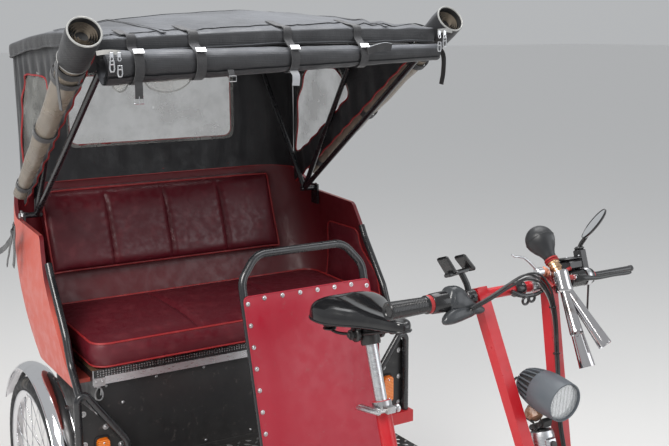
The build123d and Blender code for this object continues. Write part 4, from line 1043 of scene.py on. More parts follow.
pad_loop = rounded(
    [(-0.018, 0.777), (0.333, 0.777), (0.299, 0.868), (0.195, 0.95), (0.179, 1.008), (-0.018, 1.008)], 0.03)
pad_rows, _ = holed_rows(resampled(pad_loop, 0.012),
                         [(0.138, 0.893), (0.132, 0.893), (0.132, 0.887), (0.138, 0.887)], (0.135, 0.89), 14)
side_form, side_piping = Form(), Form()
for side in (-1, 1):
    layers = []
    for k, row in enumerate(pad_rows):
        t = k / (len(pad_rows) - 1)
        depth = 0.006 + 0.0125 * (1 - (1 - t) ** 4)
        layers.append([spot(x, side * (
            tub_y(x, z, 0.0126) - depth - 0.0012 * wobble(x * 12, z * 12, side, 24)), z) for x, z in row])
    flat = [[spot(x, side * (tub_y(x, z, 0.0126) - 0.0003), z) for x, z in row] for row in pad_rows]
    side_form.grid(layers, close_columns=True)
    side_form.grid(flat, close_columns=True)
    side_form.grid([layers[0], flat[0]], close_columns=True)
    side_piping.tube(layers[0], 0.003, 8, closed=True)
pads_obj = piece("side_pad_covers", "chassis", "upholstery", side_form, 60, ["side_pads"])
piece("side_pad_piping", "chassis", "red_piping", side_piping)

# Saddle: moulded cover on two coil springs and rails
seat_lean = radians(18.9)
seat_dir = Vector((-tan(seat_lean), 0, 1)).normalized()
saddle_x = ahead(1.046)


def on_seat(z):
    """The seat post's middle at a height."""
    return Vector((saddle_x + (1.0 - z) * tan(seat_lean), 0, z))


# columns: ahead of the post, half width, height of the top, depth of the skirt
saddle_rows = [(-0.1315, 0.046, 1.006, 0.02), (-0.124, 0.078, 1.018, 0.036), (-0.106, 0.098, 1.0255, 0.046),
               (-0.08, 0.105, 1.0285, 0.05), (-0.045, 0.099, 1.027, 0.05), (-0.01, 0.08, 1.0235, 0.046),
               (0.03, 0.055, 1.0205, 0.04), (0.075, 0.038, 1.02, 0.035), (0.115, 0.03, 1.0215, 0.032),
               (0.145, 0.026, 1.0235, 0.03), (0.163, 0.02, 1.0225, 0.026), (0.1735, 0.009, 1.016, 0.016)]
spine = curve([Vector(row[:3]) for row in saddle_rows], 4)
skirts = curve([(row[0], row[3], 0) for row in saddle_rows], 4)
saddle_form = Form()
rows = []
for a, b in zip(spine, skirts):
    wide_by, top_z, deep = a.y, a.z, b.y
    row = []
    for k in range(33):
        angle = pi * k / 32
        c, s = cos(angle), sin(angle)
        y = wide_by * (abs(c) ** 0.62) * sign(c)
        z = top_z - deep * (1 - s ** 0.55) - 0.006 * bell(y, 0, 0.02) * clamp((a.x + 0.12) / 0.05)
        row.append(Vector((saddle_x + a.x, y, z)))
    rows.append(row)
saddle_form.grid(rows)
saddle_form.grid([[p + Vector((0, -0.004 * (1 if p.y > 0 else -1 if p.y < 0 else 0), -0.004))
                   if k not in (0, 32) else p for k, p in enumerate(row)] for row in rows[1:-1]])
saddle_form.add([p for row in (rows[0], rows[-1]) for p in row], [tuple(range(33)), tuple(range(33, 66))])
lip = [row[0] for row in rows] + [row[-1] for row in rows[::-1]]
saddle_form.tube(lip, 0.0028, 8, closed=True)
saddle_obj = piece("saddle_cover", "chassis", "saddle_cover", saddle_form, 60, ["saddle"])
frame_form = Form()
base_z = 0.946
for side in (-1, 1):
    foot = Vector((saddle_x - 0.088, side * 0.05, base_z))
    helix = [foot + Vector((0.015 * (1 - 0.12 * cos(2 * pi * t)) * cos(2 * pi * 6.5 * t),
                            0.015 * (1 - 0.12 * cos(2 * pi * t)) * sin(2 * pi * 6.5 * t), 0.003 + 0.052 * t))
             for t in (k / 156 for k in range(157))]
    frame_form.tube(helix, 0.0029, 8)
    frame_form.turned([(0, 0), (0, 0.017), (0.003, 0.017), (0.003, 0)], foot - Vector((0, 0, 0.001)),
                      (0, 0, 1), 20)
    frame_form.turned([(0, 0), (0, 0.016), (0.003, 0.016), (0.003, 0)], foot + Vector((0, 0, 0.054)),
                      (0, 0, 1), 20)
    frame_form.tube(curve(
        offsets(foot, (-0.014, 0, 0.002), (0.03, -side * 0.004, -0.004), (0.09, -side * 0.022, 0.004),
                (0.16, -side * 0.03, 0.024), (0.216, -side * 0.038, 0.042)), 6), 0.0038, 10)
frame_form.tube([(saddle_x - 0.1, y, base_z) for y in (-0.05, 0.05)], 0.0045, 10)
frame_form.block((saddle_x + 0.128, 0, base_z + 0.044), (0.016, 0.036, 0.02), None, 0.004)
post_top = on_seat(0.975)
frame_form.turned([(-0.052, 0.0152), (-0.052, 0.0235), (-0.047, 0.025), (-0.008, 0.025), (-0.003, 0.0235),
                   (-0.003, 0.0152)], post_top, seat_dir, 32)
clamp_pin = post_top + Vector((0.002, 0, -0.021))
frame_form.tube([clamp_pin + Y_AXIS * y for y in (-0.05, 0.05)], 0.0088, 16)
for side in (-1, 1):
    frame_form.turned([(0, 0), (0, 0.0185), (0.003, 0.02), (0.009, 0.02), (0.012, 0.017), (0.012, 0)],
                      clamp_pin + Y_AXIS * (side * 0.03), (0, side, 0), 28)
    frame_form.bolt(clamp_pin + Y_AXIS * (side * 0.05), (0, side, 0), 0.0075, 0.008)
    frame_form.block(post_top + Vector((0.0, side * 0.034, -0.006)), (0.034, 0.013, 0.01), None, 0.003)
piece("saddle_frame", "chassis", "black_paint", frame_form, 40, ["saddle_springs"])

# Seat post: fine height marks, and the quick-release lever on its clamp
marks = Form()
mark_radius = 0.01505
for k in range(24):
    at = on_seat(0.835 + 0.005 * k)
    turn_by = (0.01 if k % 5 == 0 else 0.006) / 0.015
    marks.tube([at + Vector((cos(a), -sin(a), 0)) * mark_radius
                for a in (0.2 + turn_by * t / 4 for t in range(5))], 0.00035, 4)
piece("seat_post_marks", "chassis", "black_rubber", marks)
clamp_at = on_seat(0.782)
lever = Form()
lever.tube(curve(offsets(clamp_at, (0.04, -0.036, 0.004), (0.018, -0.043, 0.001), (-0.014, -0.0455, -0.003),
                         (-0.04, -0.043, -0.008)), 6), lambda t: 0.0048 + 0.0022 * t, 12)
lever.turned([(0, 0), (0, 0.0088), (0.002, 0.0098), (0.008, 0.0098), (0.01, 0.008), (0.01, 0)],
             clamp_at + Vector((0.032, 0.017, 0.001)), (0, 1, 0), 20)
piece("clamp_lever", "chassis", "aluminium", lever)


# Tyres with moulded tread
def tyre_form(centre):
    half = 0.0235
    crown = wheel_radius - half
    bead_circle = wheel_radius - 0.0405
    blocks = 78
    turns, across = blocks * 6, 34
    form = Form()

    def point(u, v):
        phi = radians(mix(-141.9, 141.9, v))
        angle = 2 * pi * u
        deg = abs(phi) * 180 / pi
        r = half
        if deg < 58:
            slant = u * blocks + (0.5 if phi > 0 else 0.0) + 0.35 * deg / 58
            groove = abs((slant % 1.0) - 0.5)
            r -= 0.0017 * (1 if groove > 0.33 and deg > 9 else 0) + 0.0009 * bell(deg, 9.5, 2.2)
            r -= 0.0012 * bell(deg, 34, 3)
        elif deg < 74:
            r -= 0.0013 * (1 if ((u * blocks) % 1.0) > 0.5 else 0) + 0.0004
        else:
            r -= 0.0009 + 0.0005 * (sin(deg * 1.9) > 0.6)
        reach = crown + r * cos(phi)
        return centre + Vector((reach * cos(angle), r * sin(phi), reach * sin(angle)))

    form.grid([[point(i / turns, j / across) for j in range(across + 1)] for i in range(turns)], True)
    for side in (-1, 1):
        form.tube(circle(centre + Y_AXIS * (side * 0.015), X_AXIS, Z_AXIS, bead_circle, 120), 0.0016, 6,
                  closed=True)
    return form


def wheel_spot(angle, radius, y):
    """A point of a wheel, seen from its hub."""
    return Vector((radius * cos(angle), y, radius * sin(angle)))


# columns: body, tyre, hub's middle, whether the wheel is driven by a half shaft
wheel_sets = [("rear_wheel_set_right", "rear_tyre_right", Vector((rear_axle.x, -track_half, rear_axle.z)),
               True),
              ("rear_wheel_set_left", "rear_tyre_left", Vector((rear_axle.x, track_half, rear_axle.z)), True),
              ("front_wheel_set", "front_tyre", Vector((front_axle.x, 0, front_axle.z)), False)]
spoke_count = 36
spoke_lean = radians(60)
flange_radius, flange_y = 0.029, 0.027
rim_bed, rim_edge = 0.24, 0.2585
valve_angle = 0.087
nipple_profile = [(0.001, 0.0036), (0.004, 0.0034), (0.005, 0.0023), (0.0155, 0.0021), (0.017, 0.0013)]
spoke_head_profile = [(-0.0005, 0), (-0.0005, 0.0026), (0.0008, 0.0026), (0.0012, 0)]
valve_profile = [(0, 0.0065), (0.003, 0.0065), (0.003, 0.003), (0.02, 0.003), (0.02, 0.0042), (0.034, 0.0042),
                 (0.036, 0.0025), (0.036, 0)]
for body, node, centre, driven in wheel_sets:
    piece(node + "_tread", body, "tyre", tyre_form(centre), 34, [node])
    nipples = Form()
    for number in range(spoke_count):
        side = 1 if number % 2 else -1
        trail = 1 if number % 4 < 2 else -1
        rim_angle = radians(number * 360 / spoke_count)
        hub_point = wheel_spot(rim_angle + trail * spoke_lean, flange_radius,
                               side * (flange_y + 0.0018 * trail))
        rim_point = wheel_spot(rim_angle, rim_bed, side * 0.003)
        nipples.turned(nipple_profile, centre + rim_point, (hub_point - rim_point).normalized(), 8)
        nipples.turned(spoke_head_profile, centre + hub_point, (0, side, 0), 8)
    nipples.turned(valve_profile,
                   centre + wheel_spot(valve_angle, rim_bed - 0.003, 0), -wheel_spot(valve_angle, 1, 0), 12)
    for side in (-1, 1):
        nipples.tube(circle(centre + Y_AXIS * (side * 0.0172), X_AXIS, Z_AXIS, rim_edge, 96), 0.0016, 6,
                     closed=True)
    piece(body + "_nipples", body, "aluminium", nipples)
    hub = Form()
    barrel = 0.0175 if driven else 0.0135
    if driven:
        out = -1 if centre.y < 0 else 1
        hub.bolt(centre + Vector((0, out * 0.0482, 0)), (0, out, 0), 0.0115, 0.009)
        hub.turned([(0, 0), (0, 0.006), (0.008, 0.006), (0.009, 0.0045), (0.009, 0)],
                   centre + Vector((0, out * 0.0485, 0)), (0, out, 0), 16)
        hub.turned([(0, 0.0175), (0.003, 0.02), (0.006, 0.0195), (0.006, 0.0175)],
                   centre + Vector((0, out * 0.0352, 0)), (0, out, 0), 32)
    for side in (-1, 1):
        for k in range(3):
            hub.turned([(0, barrel), (0.001, barrel + 0.001), (0.0025, barrel + 0.001), (0.0035, barrel)],
                       centre + Vector((0, side * (0.006 + 0.006 * k), 0)), (0, side, 0), 32)
    piece(body + "_hub_rings", body, "steel", hub)

# Chain: links along the line round both sprockets
bracket = spot(1.286, 0, 0.3)
cog_centre = Vector((rear_axle.x, 0, rear_axle.z))
chain_y, ring_r, cog_r, pitch = -0.045, 0.088, 0.042, 0.0127
between = bracket - cog_centre
far_off = hypot(between.x, between.z)
slope = asin((ring_r - cog_r) / far_off)
base_angle = atan2(between.z, between.x)
run_length = far_off * cos(slope)
top_angle = base_angle + pi / 2 + slope
low_angle = base_angle - pi / 2 - slope
cog_span = pi - 2 * slope
ring_span = pi + 2 * slope
total = 2 * run_length + cog_span * cog_r + ring_span * ring_r
link_count = 2 * round(total / pitch / 2)


def on_sprocket(centre, radius, angle, y=chain_y):
    return centre + Vector((radius * cos(angle), y, radius * sin(angle)))


def chain_point(distance):
    """A point of the chain's line: round the ring, back below, round the cog, forward above."""
    d = distance % total
    if d < ring_span * ring_r:
        return on_sprocket(bracket, ring_r, top_angle - d / ring_r)
    d -= ring_span * ring_r
    if d < run_length:
        return on_sprocket(bracket, ring_r, low_angle).lerp(on_sprocket(cog_centre, cog_r, low_angle),
                                                            d / run_length)
    d -= run_length
    if d < cog_span * cog_r:
        return on_sprocket(cog_centre, cog_r, low_angle - d / cog_r)
    d -= cog_span * cog_r
    return on_sprocket(cog_centre, cog_r, top_angle).lerp(on_sprocket(bracket, ring_r, top_angle),
                                                          d / run_length)


pins = [chain_point(k * total / link_count) for k in range(link_count)]
links = Form()
for k, a in enumerate(pins):
    b = pins[(k + 1) % link_count]
    run = (b - a).normalized()
    up = Vector((-run.z, 0, run.x))
    gap = 0.0034 if k % 2 else 0.0022
    plate = []
    for centre, start in ((b, -90), (a, 90)):
        plate += [centre + (run * cos(t) + up * sin(t)) * 0.004
                  for t in (radians(start + 45 * j) for j in range(5))]
    plate.insert(5, (a + b) / 2 + up * 0.0029)
    plate.append((a + b) / 2 - up * 0.0029)
    for side in (-1, 1):
        links.grid([[p + Vector((0, side * w, 0)) for p in plate] for w in (gap, gap + 0.0009)], False, True,
                   caps=True)
    links.turned([(-0.0044, 0), (-0.0044, 0.0017), (0.0044, 0.0017), (0.0044, 0)], a, (0, 1, 0), 7)
    links.turned([(-0.0022, 0.0036), (0.0022, 0.0036)], a, (0, 1, 0), 8)
piece("chain_links", "chassis", "chain_steel", links, 30, ["chain"])


def toothed(centre, radius, count, phase):
    """A ring of teeth in the gaps between the chain's rollers."""
    step = 2 * pi / count
    tooth = ((-0.5, -0.0052), (-0.3, -0.005), (-0.12, -0.0006), (0.12, -0.0006), (0.3, -0.005))
    profile = [(step * k + phase + share * step, radius + drop) for k in range(count)
               for share, drop in tooth]
    foot = [(a, radius - 0.008) for a, r in profile]
    rows = [[on_sprocket(centre, r, a, chain_y - 0.0012) for a, r in foot]]
    for y, shrink in ((-0.0012, 0.0008), (-0.0007, 0), (0.0007, 0), (0.0012, 0.0008)):
        rows.append([on_sprocket(centre, r - shrink, a, chain_y + y) for a, r in profile])
    rows.append([on_sprocket(centre, r, a, chain_y + 0.0012) for a, r in foot])
    form = Form()
    form.grid(rows, close_columns=True)
    return form


teeth = toothed(bracket, ring_r, 44, 0.04)
for k in range(5):
    teeth.turned([(0, 0), (0, 0.0052), (0.002, 0.0052), (0.002, 0.0026), (0.0008, 0.0026), (0.0008, 0)],
                 on_sprocket(bracket, 0.0745, 2 * pi * k / 5, chain_y - 0.0016), (0, -1, 0), 14)
for side in (-1, 1):
    teeth.bolt(bracket + Vector((0, side * 0.072, 0)), (0, side, 0), 0.0075, 0.006)
    teeth.turned([(0, 0.0165), (0.0022, 0.0165), (0.003, 0.015), (0.003, 0.012)],
                 bracket + Vector((0, side * 0.0715, 0)), (0, side, 0), 28)
piece("chainring_teeth", "crank", "steel", teeth, 30)
piece("sprocket_teeth", "rear_wheel_set_right", "steel", toothed(cog_centre, cog_r, 20, 0.1), 30)

# Pedals: grip blocks and reflectors
for side_name, side, along in (("right", -1, -1), ("left", 1, 1)):
    at = bracket + Vector((along * 0.17, side * (0.066 + 0.058), 0))
    rubber, reflectors = Form(), Form()
    for s in (-1, 1):
        for k in range(7):
            rubber.block(at + Vector((s * 0.0375, -0.034 + 0.0113 * k, 0)), (0.0105, 0.0075, 0.0275), None,
                         0.002)
        reflectors.block(at + Vector((s * 0.0437, 0, 0)), (0.003, 0.046, 0.013), None, 0.0008)
    rubber.bolt(at + Vector((0, side * 0.0435, 0)), (0, side, 0), 0.006, 0.005)
    piece("pedal_" + side_name + "_treads", side_name + "_pedal", "black_rubber", rubber)
    piece("pedal_" + side_name + "_reflectors", side_name + "_pedal", "orange_lens", reflectors)


# Handlebar and the rider's controls; places are ahead of, beside and up the steering axis
bar_z = 19
steer_turn = Matrix((steer_x, Vector((0, 1, 0)), steer_z)).transposed()


def bar_ring(form, profile, segments=40):
    """A form turned on the handlebar; the profile lists (beside the axis, radius) in millimetres."""
    form.turned([(y / 1000, r / 1000) for y, r in profile], on_steer(0, 0, bar_z), (0, 1, 0), segments)


bar = Form()
bar_ring(bar, [(-300, 0), (-300, 11), (212, 11), (212, 6)], 32)
piece("handlebar_tube", "steering", "red_tube", bar, 30, ["handlebar"])
rod_end = Form()
bar_ring(rod_end,
         [(204, 0), (204, 9), (214, 9), (216, 6.1), (322, 6.1), (323, 7), (328, 7), (330, 5.5), (330, 0)], 24)
piece("left_rod", "steering", "black_tube", rod_end)

grip = Form()
profile = [(-303.5, 0), (-303.5, 10.5), (-306, 12.5), (-307, 16), (-305, 17.4)]
for k in range(22):
    y = -303 + 3.6 * k
    r = 16.8 - 0.085 * k
    profile += [(y, r), (y + 0.5, r + 0.6), (y + 2.2, r + 0.6), (y + 2.7, r)]
profile += [(-222, 15.4), (-221, 17.6), (-219, 18), (-218.5, 15)]
bar_ring(grip, profile)
piece("grip_sleeve", "steering", "black_plastic", grip, 40, ["right_grip"])
collar = Form()
bar_ring(collar, [(-218.3, 12), (-218.3, 16.8), (-216, 17.8), (-211, 17.8), (-209.5, 16.8), (-209.5, 12)])
piece("grip_collar", "steering", "red_rubber", collar)

sleeve = Form()
bar_ring(sleeve, [(-209.3, 11.3), (-209.3, 17.5), (-207, 19.4), (-182, 20.6), (-176, 20.8), (-176, 11.3)], 48)
piece("shift_sleeve", "steering", "black_plastic", sleeve)


def swept(form, stations, sides=24):
    """A smooth body through stations: (ahead, beside, up, half height, half depth), in millimetres."""
    rows = []
    line = curve([Vector(s[:3]) for s in stations], 5)
    sizes = curve([(s[3], s[4], 0) for s in stations], 5)
    for i, (p, size) in enumerate(zip(line, sizes)):
        a, b = line[max(i - 1, 0)], line[min(i + 1, len(line) - 1)]
        run = (b - a).normalized()
        side = run.cross(Vector((1, 0, 0))).cross(run).normalized()
        up = side.cross(run)
        if up.z < 0 or (abs(run.z) > 0.9 and up.y < 0):
            up = -up
        ring = []
        for c, s in ((cos(2 * pi * k / sides), sin(2 * pi * k / sides)) for k in range(sides)):
            q = p + up * size.x * (abs(s) ** 0.8) * sign(s) + side * size.y * (abs(c) ** 0.8) * sign(c)
            ring.append(on_steer(*q))
        rows.append(ring)
    form.grid(rows, False, True, caps=True)


shift = Form()
swept(shift, [(4, -179, bar_z + 8, 12, 8), (4, -174, bar_z + 6, 20, 18), (4, -166, bar_z + 4, 25, 22),
              (6, -156, bar_z, 26, 22), (8, -144, bar_z - 8, 22, 18), (11, -130, bar_z - 18, 15, 14),
              (13, -116, bar_z - 25, 10, 11), (14, -104, bar_z - 27, 7, 8), (14, -98, bar_z - 27, 3, 4)])
swept(shift, [(14, -198, bar_z - 36, 3, 4), (14, -192, bar_z - 36, 8, 9), (13, -178, bar_z - 32, 13, 13),
              (12, -162, bar_z - 28, 15, 15), (12, -144, bar_z - 27, 13, 14), (12, -128, bar_z - 28, 9, 10),
              (12, -118, bar_z - 28, 4, 5)])
piece("shift_housing", "steering", "shift_plastic", shift, 50, ["shift_unit"])

holder = Form()
for aside, tip in ((-156, 26), (-112, 34)):
    holder.block(on_steer(1, aside, bar_z + 66), (0.034, 0.0075, 0.038),
                 steer_turn @ Matrix.Rotation(radians(tip), 3, "X"), 0.003)
holder.block(on_steer(1, -136, bar_z + 50), (0.02, 0.05, 0.008),
             steer_turn @ Matrix.Rotation(radians(6), 3, "X"), 0.002)
holder.tube(steer_line((1, -158, bar_z + 49), (1, -114, bar_z + 53)), 0.0042, 12)
holder.tube(steer_line((2, -116, bar_z + 8), (2, -118, bar_z + 26), (1, -122, bar_z + 40),
                       (1, -126, bar_z + 50)), 0.0062, 16)
bar_ring(holder, [(-127, 11.2), (-127, 14), (-126, 15), (-107, 15), (-106, 14), (-106, 11.2)])
holder.bolt(on_steer(15, -116, bar_z), steer_x, 0.0032, 0.005)
piece("holder_jaws", "steering", "black_plastic", holder, 40, ["phone_holder"])

# Thin bright lever on its clamp, with the small red fittings beside it
lever = Form()
bar_ring(lever, [(36, 11.2), (36, 14.8), (38, 16), (56, 16), (58, 14.8), (58, 11.2)])
lever.tube(curve(steer_line((22, 50, 42), (26, 34, 58), (30, 14, 74), (35, -6, 80), (36, -16, 81),
                            (37, -24, 86)), 7), lambda t: 0.003 - 0.0012 * t, 10)
lever.turned([(-0.009, 0), (-0.009, 0.007), (-0.007, 0.009), (0.007, 0.009), (0.009, 0.007), (0.009, 0)],
             on_steer(24, 48, 44), (0, 1, 0), 24)
lever.tube(steer_line((14, 47, bar_z + 10), (23, 48, 42)), 0.0065, 14)
lever.bolt(on_steer(24, 57, 44), (0, 1, 0), 0.004, 0.004)
piece("bright_lever", "steering", "aluminium", lever, 40, ["gear_lever"])
tip_bit = Form()
tip_bit.tube(steer_line((18, 56, 36), (24, 62, 44), (27, 66, 50)), 0.0062, 14)
tip_bit.turned([(0, 0.004), (0, 0.008), (0.006, 0.008), (0.006, 0.004)], on_steer(22, 66, 40), (0, 1, 0.3),
               18)
piece("lever_joint", "steering", "orange_bit", tip_bit)
fittings = Form()
for a, b, r in (((8, 58, 34), (16, 76, 30), 0.0052), ((20, 66, 26), (30, 70, 12), 0.0045),
                ((26, 108, 26), (22, 136, 22), 0.0048), ((18, 118, 36), (12, 140, 40), 0.0036)):
    start, end = on_steer(*a), on_steer(*b)
    fittings.tube([start, (start + end) / 2, end], r, 12)
    fittings.turned([(0, r * 1.25), (0.003, r * 1.25)], end, end - start, 12)
piece("red_fittings", "steering", "red_rubber", fittings)

# Brake lever's clamp and fluid box
box_form = Form()
box_form.block(on_steer(-4, 160, bar_z + 29), (0.036, 0.042, 0.022),
               steer_turn @ Matrix.Rotation(radians(5), 3, "Y"), 0.005)
box_form.block(on_steer(-6, 160, bar_z + 42), (0.038, 0.044, 0.005),
               steer_turn @ Matrix.Rotation(radians(5), 3, "Y"), 0.002)
bar_ring(box_form, [(140, 11.2), (140, 16), (142, 18), (180, 18), (182, 16), (182, 11.2)])
swept(box_form, [(10, 150, bar_z, 10, 10), (18, 156, bar_z - 2, 9, 8), (24, 170, bar_z - 3, 6, 6),
                 (27, 200, bar_z - 7, 4.0, 3.6), (30, 245, bar_z - 7, 3.6, 3.2),
                 (32, 280, bar_z - 8, 3.8, 3.4), (32, 291, bar_z - 8, 2.4, 2.4)])
piece("brake_lever_body", "steering", "black_plastic", box_form, 40, ["brake_reservoir"])
screws = Form()
for a in (-14, 14):
    for b in (-17, 17):
        screws.dome(on_steer(-6 + a, 160 + b, bar_z + 44.5), steer_z, 0.0026)
screws.bolt(on_steer(17, 146, bar_z + 2), steer_x, 0.0032, 0.004)
bar_ring(screws, [(184.5, 11.2), (184.5, 18.5), (187, 20), (194, 20), (196.5, 18.5), (196.5, 11.2)], 36)
piece("brake_screws", "steering", "aluminium", screws)
thin = Form()
thin.tube([on_steer(10, 190, bar_z - 8) + Vector((0, 0, -0.014 * k)) for k in range(6)], 0.0021, 8)
bar_ring(thin, [(197, 11.2), (197, 15), (199, 16.2), (205, 16.2), (206, 15), (206, 11.2)], 32)
bar_ring(thin, [(-6, 11.2), (-6, 14.5), (-4, 16), (16, 16), (18, 14.5), (18, 11.2)], 32)
thin.tube(curve(steer_line((16, -24, bar_z - 4), (20, -6, bar_z - 14), (20, 24, bar_z - 18),
                           (18, 50, bar_z - 14), (14, 62, bar_z - 8)), 6), lambda t: 0.0052 - 0.002 * t, 10)
for k in range(2):
    at = on_steer(20, 4 + 17 * k, bar_z - 26 + 3 * k)
    thin.tube(circle(at, Y_AXIS, Z_AXIS, 0.0075, 18), 0.0026, 8, closed=True)
piece("control_rods", "steering", "black_tube", thin)

# Mirror: deep shell, glass and two-part arm
mirror_at = on_steer(49, 196, 122)
facing = Vector((-0.52, -0.611, 0.597)).normalized()
shell_form, glass_form = Form(), Form()
shell_form.turned([(0.0016, 0.035), (0.0026, 0.0362), (0.0022, 0.0375), (-0.0008, 0.0375), (-0.003, 0.0345),
                   (-0.0044, 0.026), (-0.0052, 0.014), (-0.0054, 0)], mirror_at, facing, 48)
glass_form.turned([(0.0024, 0), (0.0022, 0.02), (0.0016, 0.0352)], mirror_at, facing, 48)
shell_form.block(on_steer(-7, 196, bar_z + 36), (0.022, 0.022, 0.046), steer_turn, 0.004)
shell_form.block(on_steer(-6, 196, bar_z + 60), (0.017, 0.018, 0.008), steer_turn, 0.003)
shell_form.tube(curve(steer_line((-7, 196, bar_z + 58), (2, 196, bar_z + 68), (16, 196, bar_z + 78),
                                 (34, 196, bar_z + 93)), 5), 0.0046, 12)
bar_ring(shell_form, [(187.5, 11.2), (187.5, 15.5), (189, 17), (203, 17), (204.5, 15.5), (204.5, 11.2)], 36)
piece("mirror_shell", "steering", "black_plastic", shell_form, 40, ["mirror"])
piece("mirror_glass", "steering", "mirror_glass", glass_form)

# Horn: rubber bulb, ringed neck, bright barrel and three open trumpets
horn_y = 88
bulb_at = on_steer(0, horn_y, bar_z + 88)
neck_end = on_steer(34, horn_y, bar_z + 20)
neck_run = neck_end - bulb_at
neck_dir = neck_run.normalized()
bulb = Form()
profile = [(-0.03 * cos(a), 0.03 * sin(a)) for a in (radians(3 + 7.4 * k) for k in range(17))]
profile += [(0.022, 0.0225), (0.03, 0.017), (0.038, 0.0135), (0.046, 0.0125), (0.048, 0.01)]
bulb.turned([(-0.03, 0)] + profile, bulb_at, neck_dir, 44)
bulb.tube(circle(bulb_at, *basis(neck_dir)[:2], 0.0301, 60), 0.0007, 6, closed=True)
piece("horn_bulb", "steering", "bulb_rubber", bulb, 50)
bands, neck = Form(), Form()
for at, wide_by in ((0.046, 0.004), (0.0515, 0.003)):
    bands.turned([(at, 0.01), (at, 0.0135), (at + 0.001, 0.0145), (at + wide_by - 0.001, 0.0145),
                  (at + wide_by, 0.0135), (at + wide_by, 0.01)], bulb_at, neck_dir, 28)
piece("horn_bands", "steering", "red_rubber", bands)
neck.turned([(0.05, 0.009), (0.0545, 0.0125), (0.058, 0.0128), (0.06, 0.0112), (0.064, 0.0112),
             (0.066, 0.0128), (0.07, 0.0128), (0.0715, 0.01), (neck_run.length + 0.004, 0.01)], bulb_at,
            neck_dir, 28)
piece("horn_neck", "steering", "brass", neck)
root = on_steer(40, horn_y, bar_z)
horn = Form()
barrel_low = on_steer(42, horn_y, bar_z - 22)
barrel_high = on_steer(38, horn_y, bar_z + 22)
barrel_dir = (barrel_low - barrel_high).normalized()
horn.turned([(0, 0), (0, 0.013), (0.002, 0.0165), (0.006, 0.0175), (0.034, 0.0175), (0.038, 0.0185),
             (0.042, 0.0185), (0.045, 0.0165), (0.046, 0)], barrel_high, barrel_dir, 40)
mouth_share = 0.86
neck_radius = 0.0086
for forward, aside, up, mouth in ((66, 0, -153, 0.0185), (80, -24, -84, 0.0155), (100, 24, -116, 0.0165)):
    end = on_steer(forward, horn_y + aside, up)
    start = root + (end - root) * 0.1
    mouth *= mouth_share
    run = end - start
    long = run.length
    horn.turned([(0, neck_radius), (long * 0.5, mix(neck_radius, mouth, 0.46)),
                 (long * 0.94, mix(neck_radius, mouth, 0.93)), (long, mouth), (long + 0.0014, mouth * 0.99),
                 (long, mouth * 0.94), (long * 0.9, mouth * 0.86), (long * 0.6, 0.0085), (long * 0.55, 0)],
                start, run, 40)
horn.block(on_steer(26, horn_y, bar_z - 10), (0.026, 0.014, 0.008), steer_turn, 0.002)
piece("horn_trumpets", "steering", "horn_chrome", horn, 40, ["horn"])

# Cables: strands over the bar and down beside the left riser, tied together
cable_line = curve(steer_line((30, -140, bar_z - 22), (36, -95, bar_z - 8), (40, -50, bar_z + 8),
                              (38, 0, bar_z + 20), (32, 38, bar_z + 10), (28, 60, bar_z - 20), (25, 66, -50),
                              (24, 55, -120), (24.5, 42, -190), (27, 27, -262), (27.4, 26, -345)), 8)
steps = frames(cable_line)
strand_sets = [("black_rubber", (20, 120, 235)), ("grey_rim", (300,)), ("black_plastic", (170,))]
for number, (look, angles) in enumerate(strand_sets):
    strands = Form()
    for degree in angles:
        line = []
        for i, (place, side, up) in enumerate(steps):
            share = i / len(steps)
            loose = 0.003 + 0.0075 * bell(share, 0.36, 0.14) * (1 if degree in (120, 300) else 0.35)
            a = radians(degree + 40 * share)
            line.append(place + (side * cos(a) + up * sin(a)) * loose)
        strands.tube(line, 0.0021 if number == 0 else 0.0013, 8)
    piece(f"cables_{number}", "steering", look, strands, 60, ["cable_bundle"] if number == 0 else ())
cable_ties = Form()
for share in (0.56, 0.7, 0.84, 0.95):
    place, side, up = steps[round(share * (len(steps) - 1))]
    cable_ties.tube(circle(place, side, up, 0.0066, 20), 0.0012, 6, closed=True)
    cable_ties.block(place + side * 0.008, (0.004, 0.004, 0.004))
piece("cable_ties", "steering", "black_plastic", cable_ties)

# Headlamp: finned bowl, bezel, reflector and lens
lamp_back = spot(1.612, 0, 1.001)
lamp_face = spot(1.733, 0, 0.988)
lamp_run = (lamp_face - lamp_back).normalized()
long = (lamp_face - lamp_back).length
lx, ly, _ = basis(lamp_run)
bowl = Form()
rear_bowl = Form()
rear_bowl.turned([(0.0, 0), (0.001, 0.008), (0.006, 0.0165), (0.016, 0.024), (0.03, 0.03), (0.046, 0.0345),
                  (0.06, 0.0372), (0.06, 0)], lamp_back, lamp_run, 64)
piece("lamp_rear_bowl", "steering", "black_rubber", rear_bowl)
bowl.turned([(0.0565, 0.03), (0.0565, 0.0386), (0.058, 0.04), (0.072, 0.0412), (0.09, 0.0412),
             (long - 0.01, 0.0402), (long, 0.039), (long + 0.0005, 0.037), (long - 0.008, 0.0362),
             (long - 0.012, 0.035)], lamp_back, lamp_run, 64)
for k in range(22):
    a = 2 * pi * k / 22
    out = lx * cos(a) + ly * sin(a)
    side = lamp_run.cross(out)
    rows = []
    for along, low_r, high_r in ((0.004, 0.012, 0.0175), (0.014, 0.02, 0.0275), (0.028, 0.026, 0.0335),
                                 (0.044, 0.03, 0.0372), (0.058, 0.033, 0.0396), (0.06, 0.034, 0.04)):
        p = lamp_back + lamp_run * along
        rows.append([p + out * low_r - side * 0.0019, p + out * high_r - side * 0.0014,
                     p + out * high_r + side * 0.0014, p + out * low_r + side * 0.0019])
    bowl.grid(rows, False, True, caps=True)
piece("lamp_bowl", "steering", "lamp_grey", bowl, 32, ["headlamp"])
reflector, glass = Form(), Form()
rows = []
